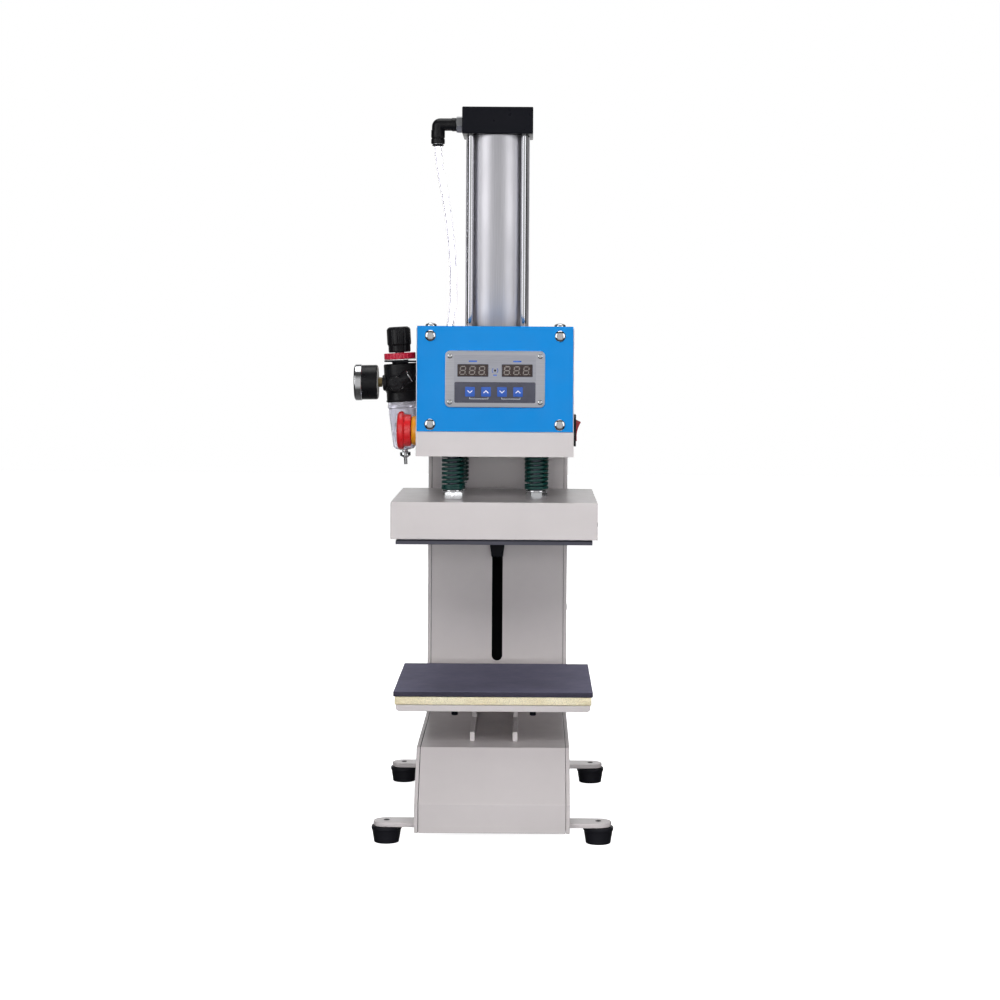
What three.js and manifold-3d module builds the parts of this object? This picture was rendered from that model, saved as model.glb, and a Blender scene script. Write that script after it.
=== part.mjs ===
// Pneumatic bench-top hot foil stamper: a sheet-metal stand with a C-shaped frame, an air cylinder that
// drives a spring-mounted heated head down onto a padded platen, and the air and electric controls.
// Millimetres, +Z up, -Y is the operator's side. Heights in the machine group are measured from a datum
// that lies FLOOR below the surface it stands on.
// Inside the machine group X = 0 is the middle plane and Y = 0 is the cylinder's axis.
import * as THREE from "three";
import { mergeVertices } from "three/addons/utils/BufferGeometryUtils.js";
import Module from "manifold-3d";

const wasm = await Module();
wasm.setup();

// ---------------------------------------------------------------- driving dimensions
const GAP = 0.3; // air between two pieces that touch
const FLOOR = 2.6; // height of the surface it stands on above the datum
const PLATE = 4; // side plates of the frame
const SHEET = 2; // folded covers of the stand
const SKIN = 1.6; // folded sheet of the upper housing

const STAND_HALF = 79; // half width over the side plates
const STAND_FRONT = -128;
const STAND_REAR = 278;
const STAND_BOTTOM = 20;
const LIP_TOP = 49; // top of the upright lip at the front
const SLOPE_BACK = -83; // where the sloping front meets the flat top
const BASE_TOP = 99;
const COLUMN_FRONT = 147;
const SLOT_HALF = 6;
const SLOT_LOW = 155;

const FOOT_X = 109;
const FOOT_ROWS = { front: -88, rear: 226 };
const FOOT_HEIGHT = 17;
const FOOT_TOP_R = 15.6;
const FOOT_BASE_R = 13;
const BAR_HALF = 13.5;
const BAR_THICK = 5;

const TRAY_HALF = 100;
const TRAY_FRONT = -100;
const TRAY_REAR = 98;
const TRAY_BOTTOM = 138.6;
const TRAY_THICK = 6.5;
const FOAM_HALF = 101.5;
const FOAM_THICK = 8.1;
const PAD_HALF = 102.5;
const PAD_FRONT = -101;
const PAD_REAR = 99;
const PAD_THICK = 5.2;
const PLATEN_RIB_X = 22.4;
const PLATEN_RIB_THICK = 5;

const STROKE = 150; // travel of the ram
const FLOAT = 8; // how far the head can rise against its springs
const GUIDE = { low: 318, high: 336 }; // the arm that runs in the column's slot, with the ram up
const SLOT_HIGH = GUIDE.high + FLOAT + 4.6;
const HEAD_HALF_X = 106;
const HEAD_HALF_Y = 109;
const HEAD_BOTTOM = 315.8;
const HEAD_TOP = 353.8;
const HEAD_SKIN = 1.8;
const HOT_PLATE_HALF = 101;
const HOT_BLOCK_HALF = 98;
const HOT_PLATE_BOTTOM = 309.8;
const HOT_PLATE_EDGE = 4;
const HOT_BLOCK_TOP = 330;
const INSULATION_TOP = 338;

const POST_X = 43.3;
const POST_Y = 66;
const POST_R = 6;
const POST_TOP = 443;
const NUT_ACROSS = 19;
const NUT_TOP = 362;
const WASHER_TOP = 363.8;
const WASHER_R = 12;

const PRESS_PLATE = { halfX: 62, halfY: 85, bottom: 415, top: 430 };
const SPRING_R = 12.5;
const SPRING_WIRE = { radial: 4.6, axial: 4 };
const SPRING_TURNS = 7.6;

const HOUSING_HALF = 81;
const HOUSING_FRONT = -99;
const HOUSING_REAR = 280;
const HOUSING_BOTTOM = 400;
const HOUSING_TOP = 532;
const COVER_HALF = 80.15;
const COVER_BOTTOM = 425.6;
const COVER_TOP = 533.9;
const COVER_FLANGE_BACK = -66;

const CAP_HALF = 37.5; // the 75 mm square caps of a 63 mm bore cylinder
const BORE_R = 31.5;
const TUBE_R = 34;
const TUBE_TOP = 737;
const CYLINDER_TOP = 765.7;
const MOUNT_PLATE = { bottom: 490, top: 503, front: -50 };
const LOW_CAP = { bottom: 503.3, top: 531.3 };
const TIE_ROD_AT = 28.25;
const TIE_ROD_R = 3.4;
const ROD_R = 10;
const PISTON_BOTTOM = LOW_CAP.top + STROKE + 18.7;
const PISTON_TOP = PISTON_BOTTOM + 25;

const PANEL_Z = 479.7;
const PANEL_HALF_X = 51.15;
const PANEL_HALF_Z = 28.95;
const PANEL_CORNER = 5;
const PANEL_BODY = { halfX: 42, halfZ: 24.5, back: -62 };
const COVER_FACE = -100.9;
const PANEL_FACE = -103.7;
const KEY_HALF = 5;
const KEY_DROP = 13; // keys below the panel's middle
const KEY_X = { time_down: -25.6, time_up: -9.2, heat_down: 7.2, heat_up: 23.6 };

const SWITCH = { y: -65, z: 426.5, halfY: 11, halfZ: 16.5, back: 66, face: 83.8 };
const ROCKER_TILT = 12; // degrees from level, top edge out
const ROCKER_HALF = 6.6; // half width
const ROCKER_REACH = 12; // pivot to either end
const ESTOP = { y: -65, z: 425, back: -66 };
const ESTOP_HOLE_R = 11.3;

const REGULATOR_AT = { x: -103.1, y: 23, z: 471.1 };
const REGULATOR_LEAN = -3.5; // degrees about +Y, its top towards -X
const GAUGE_HEIGHT = 2.8; // above the regulator's own origin
const GAUGE_LEVEL = 2.5; // degrees about +Y that turn the gauge back towards level
const BRACKET = { x: -120.6, z: 495.3, half: 18, thick: 1.8, rise: 28, holeX: -104.4, holeR: 10.6 };

const TUBE_ROUTE = [
  [-64.3, 0, 729.9],
  [-62.2, 0, 706],
  [-58.8, 0, 686],
  [-55.4, 0, 666],
  [-52.4, 0, 642],
  [-49.6, 0, 616],
  [-48, 0, 590],
  [-47.6, 0, 563],
  [-49, 0, 544],
  [-50.6, 0, 530],
  [-51, 0, 516],
];
const AIR_TUBE_R = 4;

// The machine group's middle plane and cylinder axis, seen from the middle of the object's outline.
const ORIGIN_SHIFT = { x: 14.7, y: -76.35 };

// ---------------------------------------------------------------- finishes
function finish(color, roughness, metalness) {
  return new THREE.MeshStandardMaterial({ color, roughness, metalness });
}
const greyPaint = finish(0xc9c4bf, 0.45, 0.1);
const bluePaint = finish(0x0a84db, 0.4, 0.1);
const blackPlastic = finish(0x17181a, 0.4, 0);
const blackPaint = finish(0x0d0d0f, 0.3, 0.3);
const footRubber = finish(0x1b1b1c, 0.8, 0);
const padRubber = finish(0x55555f, 0.85, 0);
const foam = finish(0xe1d7b9, 0.95, 0);
const steel = finish(0xb9babd, 0.35, 0.9);
const chrome = finish(0xe2e4e8, 0.12, 1);
const aluminium = finish(0xc4c6ca, 0.4, 0.9);
const springPaint = finish(0x0a3c37, 0.45, 0.2);
const board = finish(0xd8cdb8, 0.9, 0);
const red = finish(0xc3282d, 0.35, 0);
const yellow = finish(0xf0a01e, 0.4, 0);
const keyBlue = finish(0x1c4f9c, 0.5, 0);
const clearPlastic = finish(0xdfe6ea, 0.15, 0);
const tubePlastic = finish(0xdadde2, 0.3, 0);

// ---------------------------------------------------------------- shapes
const rad = THREE.MathUtils.degToRad;

// A box between two corners.
function block([x0, x1], [y0, y1], [z0, z1]) {
  const geometry = new THREE.BoxGeometry(x1 - x0, y1 - y0, z1 - z0);
  return geometry.translate((x0 + x1) / 2, (y0 + y1) / 2, (z0 + z1) / 2);
}

function shapeOf(points) {
  return new THREE.Shape(points.map(([u, v]) => new THREE.Vector2(u, v)));
}

function slab(shape, depth) {
  return new THREE.ExtrudeGeometry(shape, { depth, bevelEnabled: false, curveSegments: 8 });
}

// A (y, z) outline drawn out along X from x0 to x1.
function alongX(shape, x0, x1) {
  const turn = new THREE.Matrix4().makeBasis(
    new THREE.Vector3(0, 1, 0),
    new THREE.Vector3(0, 0, 1),
    new THREE.Vector3(1, 0, 0),
  );
  return slab(shape, x1 - x0).applyMatrix4(turn).translate(x0, 0, 0);
}

// An (x, z) outline drawn out along Y from y0 to y1.
function alongY(shape, y0, y1) {
  return slab(shape, y1 - y0).rotateX(Math.PI / 2).translate(0, y1, 0);
}

// An (x, y) outline drawn out along Z from z0 to z1.
function alongZ(shape, z0, z1) {
  return slab(shape, z1 - z0).translate(0, 0, z0);
}

// A closed (radius, height) profile turned about Z.
function turned(profile, segments = 20) {
  const points = profile.map(([r, h]) => new THREE.Vector2(r, h));
  if (THREE.ShapeUtils.area(points) < 0) points.reverse();
  if (points[0].x > 0 || points.at(-1).x > 0) points.push(points[0].clone());
  return new THREE.LatheGeometry(points, segments).rotateX(Math.PI / 2);
}

function disc(radius, z0, z1, segments = 20) {
  const profile = [
    [0, z0],
    [radius, z0],
    [radius, z1],
    [0, z1],
  ];
  return turned(profile, segments);
}

function ring(inner, outer, z0, z1, segments = 20) {
  const profile = [
    [inner, z0],
    [outer, z0],
    [outer, z1],
    [inner, z1],
  ];
  return turned(profile, segments);
}

// A six-sided nut body, across the flats, with a flat towards -Y.
function hexagon(across, z0, z1) {
  return disc(across / Math.sqrt(3), z0, z1, 6).rotateZ(Math.PI / 6);
}

// Turns a shape made about Z so that its +Z points along -X or -Y.
const toMinusX = (geometry) => geometry.rotateY(-Math.PI / 2);
const toMinusY = (geometry) => geometry.rotateX(Math.PI / 2);

function roundedRectangle(halfU, halfV, radius, centreV = 0) {
  const shape = new THREE.Shape();
  const corners = [
    [halfU, -halfV, -90],
    [halfU, halfV, 0],
    [-halfU, halfV, 90],
    [-halfU, -halfV, 180],
  ];
  for (const [u, v, start] of corners) {
    const cu = u - Math.sign(u) * radius;
    const cv = v - Math.sign(v) * radius + centreV;
    shape.absarc(cu, cv, radius, rad(start), rad(start + 90), false);
  }
  return shape;
}

function rectanglePath(u0, u1, v0, v1) {
  return new THREE.Path([
    new THREE.Vector2(u0, v0),
    new THREE.Vector2(u0, v1),
    new THREE.Vector2(u1, v1),
    new THREE.Vector2(u1, v0),
  ]);
}

// The outline of a folded strip: a path of (u, v) points and the same path moved inwards by its thickness.
function foldedStrip(path, thickness) {
  const points = path.map(([u, v]) => new THREE.Vector2(u, v));
  const inner = points.map((point, i) => {
    const before = points[Math.max(i - 1, 0)];
    const after = points[Math.min(i + 1, points.length - 1)];
    const entering = point.clone().sub(i ? before : point).normalize();
    const leaving = after.clone().sub(i < points.length - 1 ? point : after).normalize();
    const first = i ? entering : leaving;
    const second = i < points.length - 1 ? leaving : entering;
    const normal = new THREE.Vector2(first.y + second.y, -first.x - second.x).normalize();
    const reach = thickness / Math.max(normal.dot(new THREE.Vector2(first.y, -first.x)), 0.1);
    return point.clone().addScaledVector(normal, reach);
  });
  return new THREE.Shape([...points, ...inner.reverse()]);
}

// ---------------------------------------------------------------- booleans
function solidOf(geometry) {
  const bare = geometry.clone();
  bare.deleteAttribute("normal");
  bare.deleteAttribute("uv");
  const merged = mergeVertices(bare, 1e-4);
  const vertProperties = merged.attributes.position.array;
  const triVerts = new Uint32Array(merged.index.array);
  return new wasm.Manifold(new wasm.Mesh({ numProp: 3, vertProperties, triVerts }));
}

function geometryOf(solid) {
  const mesh = solid.getMesh();
  const geometry = new THREE.BufferGeometry();
  geometry.setAttribute("position", new THREE.BufferAttribute(new Float32Array(mesh.vertProperties), 3));
  geometry.setIndex(new THREE.BufferAttribute(new Uint32Array(mesh.triVerts), 1));
  geometry.computeVertexNormals();
  return geometry;
}

function join(first, ...others) {
  return geometryOf(others.reduce((sum, other) => sum.add(solidOf(other)), solidOf(first)));
}

function cut(first, ...others) {
  return geometryOf(others.reduce((rest, other) => rest.subtract(solidOf(other)), solidOf(first)));
}

// ---------------------------------------------------------------- scene graph
const machine = new THREE.Group();
machine.position.set(ORIGIN_SHIFT.x, ORIGIN_SHIFT.y, -FLOOR);

function part(name, geometry, material, parent = machine) {
  const mesh = new THREE.Mesh(geometry, material);
  mesh.name = name;
  parent.add(mesh);
  return mesh;
}

const sides = { left: -1, right: 1 };

// ---------------------------------------------------------------- stand
// The three-sided notch in a side plate's lower edge that a foot bar passes through.
function barNotch(y) {
  const half = BAR_HALF + GAP;
  const top = STAND_BOTTOM + BAR_THICK + GAP;
  return [
    [y - half, STAND_BOTTOM],
    [y - half, top],
    [y + half, top],
    [y + half, STAND_BOTTOM],
  ];
}

function sidePlateOutline() {
  const armFront = HOUSING_FRONT + SKIN + 1.4;
  const armBottom = HOUSING_BOTTOM + 2;
  const top = HOUSING_TOP - SKIN - 0.4;
  return shapeOf([
    [STAND_FRONT, STAND_BOTTOM],
    ...barNotch(FOOT_ROWS.front),
    ...barNotch(FOOT_ROWS.rear),
    [STAND_REAR, STAND_BOTTOM],
    [STAND_REAR, top],
    [armFront, top],
    [armFront, armBottom],
    [COLUMN_FRONT, armBottom],
    [COLUMN_FRONT, BASE_TOP],
    [SLOPE_BACK, BASE_TOP],
    [STAND_FRONT, LIP_TOP],
  ]);
}

function switchOpening() {
  const half = { y: SWITCH.halfY - 1.2, z: SWITCH.halfZ - 2 };
  const x = [STAND_HALF - PLATE - 1, HOUSING_HALF + 1];
  return block(x, [SWITCH.y - half.y, SWITCH.y + half.y], [SWITCH.z - half.z, SWITCH.z + half.z]);
}

function estopOpening() {
  const hole = toMinusX(disc(ESTOP_HOLE_R, STAND_HALF - PLATE - 1, HOUSING_HALF + 1));
  return hole.translate(0, ESTOP.y, ESTOP.z);
}

for (const [side, sign] of Object.entries(sides)) {
  const edges = [sign * STAND_HALF, sign * (STAND_HALF - PLATE)].sort((a, b) => a - b);
  const plate = alongX(sidePlateOutline(), ...edges);
  const opening = side === "left" ? estopOpening() : switchOpening();
  part(`side_plate_${side}`, cut(plate, opening), greyPaint);
}

const innerHalf = STAND_HALF - PLATE - GAP;

const baseCoverPath = [
  [STAND_FRONT + 22, STAND_BOTTOM],
  [STAND_FRONT, STAND_BOTTOM],
  [STAND_FRONT, LIP_TOP],
  [SLOPE_BACK, BASE_TOP],
  [COLUMN_FRONT - GAP, BASE_TOP],
];
part("base_cover", alongX(foldedStrip(baseCoverPath, SHEET), -innerHalf, innerHalf), greyPaint);

function columnFrontShape() {
  const shape = new THREE.Shape();
  shape.moveTo(-innerHalf, BASE_TOP - SHEET);
  shape.lineTo(innerHalf, BASE_TOP - SHEET);
  shape.lineTo(innerHalf, HOUSING_TOP - SKIN - 0.4);
  shape.lineTo(-innerHalf, HOUSING_TOP - SKIN - 0.4);
  shape.closePath();
  const slot = new THREE.Path();
  slot.absarc(0, SLOT_LOW + SLOT_HALF, SLOT_HALF, Math.PI, 2 * Math.PI, false);
  slot.absarc(0, SLOT_HIGH - SLOT_HALF, SLOT_HALF, 0, Math.PI, false);
  shape.holes.push(slot);
  return shape;
}
part("column_front_plate", alongY(columnFrontShape(), COLUMN_FRONT, COLUMN_FRONT + SHEET), greyPaint);

const INLET = { x: 0, z: 60, halfX: 14, halfZ: 10.2, flangeX: 25, flangeZ: 14, deep: 16 };
const backSheet = block([-innerHalf, innerHalf], [STAND_REAR - SHEET, STAND_REAR], [STAND_BOTTOM, 530]);
const inletCutout = block(
  [INLET.x - INLET.halfX - GAP, INLET.x + INLET.halfX + GAP],
  [STAND_REAR - 5, STAND_REAR + 1],
  [INLET.z - INLET.halfZ - GAP, INLET.z + INLET.halfZ + GAP],
);
part("column_back_cover", cut(backSheet, inletCutout), greyPaint);

function powerInlet() {
  const front = STAND_REAR + GAP;
  const flange = block(
    [INLET.x - INLET.flangeX, INLET.x + INLET.flangeX],
    [front, front + 2.4],
    [INLET.z - INLET.flangeZ, INLET.z + INLET.flangeZ],
  );
  const body = block(
    [INLET.x - INLET.halfX, INLET.x + INLET.halfX],
    [front - INLET.deep, front + 1],
    [INLET.z - INLET.halfZ, INLET.z + INLET.halfZ],
  );
  const recess = block(
    [INLET.x - INLET.halfX + 2, INLET.x + INLET.halfX - 2],
    [front - INLET.deep + 3, front + 4],
    [INLET.z - INLET.halfZ + 2, INLET.z + INLET.halfZ - 2],
  );
  return cut(join(flange, body), recess);
}
part("power_inlet", powerInlet(), blackPlastic);

function footBarShape(y) {
  const shape = new THREE.Shape();
  shape.absarc(-FOOT_X, y, BAR_HALF, Math.PI / 2, 1.5 * Math.PI, false);
  shape.absarc(FOOT_X, y, BAR_HALF, -Math.PI / 2, Math.PI / 2, false);
  return shape;
}

const footProfile = [
  [0, 0],
  [FOOT_BASE_R - 1, 0],
  [FOOT_BASE_R, 1],
  [FOOT_TOP_R, FOOT_HEIGHT - 1.5],
  [FOOT_TOP_R - 1.5, FOOT_HEIGHT],
  [0, FOOT_HEIGHT],
];
for (const [row, y] of Object.entries(FOOT_ROWS)) {
  const bottom = FLOOR + FOOT_HEIGHT + GAP;
  part(`foot_bar_${row}`, alongZ(footBarShape(y), bottom, bottom + BAR_THICK), greyPaint);
  for (const [side, sign] of Object.entries(sides)) {
    const foot = part(`rubber_foot_${row}_${side}`, turned(footProfile, 24), footRubber);
    foot.position.set(sign * FOOT_X, y, FLOOR);
  }
}

// ---------------------------------------------------------------- lower platen
const RIB_FRONT = -50;
const RIB_STEP = 42; // in front of it the ribs stay low, behind it they carry the tray
const RIB_REAR = COLUMN_FRONT - 0.5;
const RIB_TOP = TRAY_BOTTOM - GAP;
const RIB_TOE_TOP = BASE_TOP + 10;
const RIB_CAP_THICK = 3;
const ribShape = shapeOf([
  [RIB_FRONT, BASE_TOP + GAP],
  [RIB_REAR, BASE_TOP + GAP],
  [RIB_REAR, RIB_TOP],
  [RIB_STEP, RIB_TOP],
  [RIB_STEP, RIB_TOE_TOP],
  [RIB_FRONT, RIB_TOE_TOP],
]);
const ribs = Object.values(sides).map((sign) => {
  const middle = sign * PLATEN_RIB_X;
  return alongX(ribShape, middle - PLATEN_RIB_THICK / 2, middle + PLATEN_RIB_THICK / 2);
});
// The cap joining the ribs ends under the tray, so the guide arm can come down between them.
const ribCap = block(
  [-PLATEN_RIB_X, PLATEN_RIB_X],
  [RIB_STEP, TRAY_REAR],
  [RIB_TOP - RIB_CAP_THICK, RIB_TOP],
);
part("platen_bracket", join(ribCap, ...ribs), greyPaint);

// The tray is a plate with its lower long edges rounded.
function trayShape() {
  const radius = 4;
  const shape = new THREE.Shape();
  shape.moveTo(TRAY_HALF, TRAY_BOTTOM + TRAY_THICK);
  shape.lineTo(-TRAY_HALF, TRAY_BOTTOM + TRAY_THICK);
  shape.absarc(-TRAY_HALF + radius, TRAY_BOTTOM + radius, radius, Math.PI, 1.5 * Math.PI, false);
  shape.absarc(TRAY_HALF - radius, TRAY_BOTTOM + radius, radius, -Math.PI / 2, 0, false);
  return shape;
}
part("lower_tray", alongY(trayShape(), TRAY_FRONT, TRAY_REAR), greyPaint);

const foamBottom = TRAY_BOTTOM + TRAY_THICK + GAP;
const foamTop = foamBottom + FOAM_THICK;
const padBottom = foamTop + GAP;
const foamBlock = block([-FOAM_HALF, FOAM_HALF], [TRAY_FRONT, TRAY_REAR], [foamBottom, foamTop]);
part("foam_pad", foamBlock, foam);
const padBlock = block([-PAD_HALF, PAD_HALF], [PAD_FRONT, PAD_REAR], [padBottom, padBottom + PAD_THICK]);
part("rubber_pad", padBlock, padRubber);

// ---------------------------------------------------------------- heated head
const posts = {
  front_left: [-POST_X, -POST_Y],
  front_right: [POST_X, -POST_Y],
  rear_left: [-POST_X, POST_Y],
  rear_right: [POST_X, POST_Y],
};

function postHoles(radius, z0, z1) {
  return Object.values(posts).map(([x, y]) => disc(radius, z0, z1, 16).translate(x, y, 0));
}

const headOuter = block(
  [-HEAD_HALF_X, HEAD_HALF_X],
  [-HEAD_HALF_Y, HEAD_HALF_Y],
  [HEAD_BOTTOM, HEAD_TOP],
);
const headInner = block(
  [-HEAD_HALF_X + HEAD_SKIN, HEAD_HALF_X - HEAD_SKIN],
  [-HEAD_HALF_Y + HEAD_SKIN, HEAD_HALF_Y - HEAD_SKIN],
  [HEAD_BOTTOM - 1, HEAD_TOP - HEAD_SKIN],
);
const headHoles = postHoles(POST_R + 0.5, HEAD_TOP - 5, HEAD_TOP + 1);
part("head_cover", cut(headOuter, headInner, ...headHoles), greyPaint);

function squarePlate(half, z0, z1) {
  return block([-half, half], [-half, half], [z0, z1]);
}
const hotEdgeTop = HOT_PLATE_BOTTOM + HOT_PLATE_EDGE;
const hotBody = join(
  squarePlate(HOT_PLATE_HALF, HOT_PLATE_BOTTOM, hotEdgeTop),
  squarePlate(HOT_BLOCK_HALF, hotEdgeTop - 1, HOT_BLOCK_TOP),
);
const postFoot = HOT_BLOCK_TOP - 10;
const postSockets = postHoles(POST_R + GAP, postFoot - GAP, HOT_BLOCK_TOP + 1);
part("heating_block", cut(hotBody, ...postSockets), aluminium);

const insulation = squarePlate(HOT_BLOCK_HALF, HOT_BLOCK_TOP + GAP, INSULATION_TOP);
const insulationHoles = postHoles(POST_R + 0.5, HOT_BLOCK_TOP - 1, INSULATION_TOP + 1);
part("insulation_board", cut(insulation, ...insulationHoles), board);

// Each post is locked in the head by a nut and washer and hangs by its top nut on the press plate.
function springPost() {
  const lowNut = hexagon(NUT_ACROSS, HEAD_TOP + GAP, NUT_TOP);
  const washer = disc(WASHER_R, NUT_TOP - 0.1, WASHER_TOP, 16);
  const topNut = hexagon(NUT_ACROSS, PRESS_PLATE.top + GAP, PRESS_PLATE.top + 9);
  return join(disc(POST_R, postFoot, POST_TOP, 16), lowNut, washer, topNut);
}
for (const [place, [x, y]] of Object.entries(posts)) {
  part(`spring_post_${place}`, springPost(), chrome).position.set(x, y, 0);
}

// Black arm on the head's back: it runs through the column's slot and keeps the head from turning.
const SLIDER = { half: 15, front: COLUMN_FRONT + SHEET + 0.5, rear: 161 };
const BOOT = { half: 8, toeHalf: 6.3, taper: 287, toe: 275.5, front: 122, rear: COLUMN_FRONT - 0.6 };
function guideArm() {
  const front = HEAD_HALF_Y + GAP;
  const armHalf = SLOT_HALF - 0.4;
  const flange = block([-14, 14], [front, front + 3], [GUIDE.low, GUIDE.high + 14]);
  const arm = block([-armHalf, armHalf], [front + 2, SLIDER.front + 1], [GUIDE.low, GUIDE.high]);
  const slider = block(
    [-SLIDER.half, SLIDER.half],
    [SLIDER.front, SLIDER.rear],
    [GUIDE.low - 4, GUIDE.high + 6],
  );
  const bootShape = shapeOf([
    [-BOOT.half, GUIDE.low + 2],
    [-BOOT.half, BOOT.taper],
    [-BOOT.toeHalf, BOOT.toe],
    [BOOT.toeHalf, BOOT.toe],
    [BOOT.half, BOOT.taper],
    [BOOT.half, GUIDE.low + 2],
  ]);
  const boot = alongY(bootShape, BOOT.front, BOOT.rear);
  return join(flange, arm, slider, boot);
}
part("guide_arm", guideArm(), blackPaint);

// ---------------------------------------------------------------- ram and springs
const plateSlab = block(
  [-PRESS_PLATE.halfX, PRESS_PLATE.halfX],
  [-PRESS_PLATE.halfY, PRESS_PLATE.halfY],
  [PRESS_PLATE.bottom, PRESS_PLATE.top],
);
const plateHoles = postHoles(POST_R + 0.5, PRESS_PLATE.bottom - 1, PRESS_PLATE.top + 1);
const spigotR = 7;
const rodHole = disc(spigotR + GAP, PRESS_PLATE.bottom - 1, PRESS_PLATE.top + 1, 16);
part("press_plate", cut(plateSlab, rodHole, ...plateHoles), steel);

const rodProfile = [
  [0, PRESS_PLATE.bottom - 3],
  [spigotR, PRESS_PLATE.bottom - 3],
  [spigotR, PRESS_PLATE.top + GAP],
  [ROD_R, PRESS_PLATE.top + GAP],
  [ROD_R, PISTON_BOTTOM - GAP],
  [spigotR, PISTON_BOTTOM - GAP],
  [spigotR, PISTON_TOP + 3],
  [0, PISTON_TOP + 3],
];
const piston = disc(BORE_R - GAP, PISTON_BOTTOM, PISTON_TOP, 32);
part("piston_rod", join(turned(rodProfile, 20), piston), chrome);

// A helix whose frame keeps one side of the wire facing the axis.
class SpringPath extends THREE.Curve {
  constructor(radius, z0, z1, turns) {
    super();
    this.radius = radius;
    this.z0 = z0;
    this.rise = z1 - z0;
    this.turns = turns;
  }

  getPoint(t, target = new THREE.Vector3()) {
    const angle = 2 * Math.PI * this.turns * t;
    const x = this.radius * Math.cos(angle);
    const y = this.radius * Math.sin(angle);
    return target.set(x, y, this.z0 + this.rise * t);
  }

  computeFrenetFrames(segments) {
    const tangents = [];
    const normals = [];
    const binormals = [];
    for (let i = 0; i <= segments; i += 1) {
      const angle = (2 * Math.PI * this.turns * i) / segments;
      const out = new THREE.Vector3(Math.cos(angle), Math.sin(angle), 0);
      const around = 2 * Math.PI * this.turns * this.radius;
      const along = new THREE.Vector3(-out.y * around, out.x * around, this.rise).normalize();
      tangents.push(along);
      normals.push(out);
      binormals.push(along.clone().cross(out));
    }
    return { tangents, normals, binormals };
  }
}

const springFoot = WASHER_TOP + GAP;
const springHead = PRESS_PLATE.bottom - GAP;
function dieSpring() {
  const { radial, axial } = SPRING_WIRE;
  const margin = axial / 2 + 0.1;
  const wireR = SPRING_R - radial / 2;
  const path = new SpringPath(wireR, springFoot + margin, springHead - margin, SPRING_TURNS);
  const section = shapeOf([
    [-radial / 2, -axial / 2],
    [radial / 2, -axial / 2],
    [radial / 2, axial / 2],
    [-radial / 2, axial / 2],
  ]);
  const steps = Math.round(SPRING_TURNS * 12);
  return new THREE.ExtrudeGeometry(section, { extrudePath: path, steps, bevelEnabled: false });
}
for (const [place, [x, y]] of Object.entries(posts)) {
  part(`die_spring_${place}`, dieSpring(), springPaint).position.set(x, y, 0);
}

// ---------------------------------------------------------------- upper housing
function housingShell() {
  const outer = block(
    [-HOUSING_HALF, HOUSING_HALF],
    [HOUSING_FRONT, HOUSING_REAR],
    [HOUSING_BOTTOM, HOUSING_TOP],
  );
  const inner = block(
    [-HOUSING_HALF + SKIN, HOUSING_HALF - SKIN],
    [HOUSING_FRONT + SKIN, HOUSING_REAR - SKIN],
    [HOUSING_BOTTOM - 1, HOUSING_TOP - SKIN],
  );
  const roof = [HOUSING_TOP - SKIN - 1, HOUSING_TOP + 1];
  const capSpan = [-CAP_HALF - 1, CAP_HALF + 1];
  const panelHalf = { x: 56, z: 39 };
  const window = block(
    [-panelHalf.x, panelHalf.x],
    [HOUSING_FRONT - 1, HOUSING_FRONT + SKIN + 1],
    [PANEL_Z - panelHalf.z, PANEL_Z + panelHalf.z],
  );
  const capHole = block(capSpan, capSpan, roof);
  const [tubeX, tubeY] = TUBE_ROUTE.at(-1);
  const tubeHole = disc(AIR_TUBE_R + 1, ...roof, 16).translate(tubeX + 0.4, tubeY, 0);
  return cut(outer, inner, window, capHole, tubeHole, switchOpening(), estopOpening());
}
part("housing_shell", housingShell(), greyPaint);

function frontCover() {
  const path = [
    [COVER_FACE, COVER_BOTTOM],
    [COVER_FACE, COVER_TOP],
    [COVER_FLANGE_BACK, COVER_TOP],
  ];
  const sheet = alongX(foldedStrip(path, SKIN), -COVER_HALF, COVER_HALF);
  const window = block(
    [-PANEL_BODY.halfX - 0.5, PANEL_BODY.halfX + 0.5],
    [COVER_FACE - 1, COVER_FACE + 3],
    [PANEL_Z - PANEL_BODY.halfZ - 0.5, PANEL_Z + PANEL_BODY.halfZ + 0.5],
  );
  return cut(sheet, window);
}
part("front_cover", frontCover(), bluePaint);

const mountSlab = block(
  [-innerHalf, innerHalf],
  [MOUNT_PLATE.front, COLUMN_FRONT - GAP],
  [MOUNT_PLATE.bottom, MOUNT_PLATE.top],
);
const rodPassage = disc(ROD_R + 2, MOUNT_PLATE.bottom - 1, MOUNT_PLATE.top + 1);
part("cylinder_mount_plate", cut(mountSlab, rodPassage), steel);

// ---------------------------------------------------------------- air cylinder
const tieRods = {
  front_left: [-TIE_ROD_AT, -TIE_ROD_AT],
  front_right: [TIE_ROD_AT, -TIE_ROD_AT],
  rear_left: [-TIE_ROD_AT, TIE_ROD_AT],
  rear_right: [TIE_ROD_AT, TIE_ROD_AT],
};
const tieFoot = 512;
const tieHead = 752;

function tieHoles(z0, z1) {
  return Object.values(tieRods).map(([x, y]) => disc(TIE_ROD_R + GAP, z0, z1, 12).translate(x, y, 0));
}

const topCap = block([-CAP_HALF, CAP_HALF], [-CAP_HALF, CAP_HALF], [TUBE_TOP + GAP, CYLINDER_TOP]);
part("cylinder_top_cap", cut(topCap, ...tieHoles(TUBE_TOP - 1, tieHead + GAP)), blackPaint);

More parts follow.
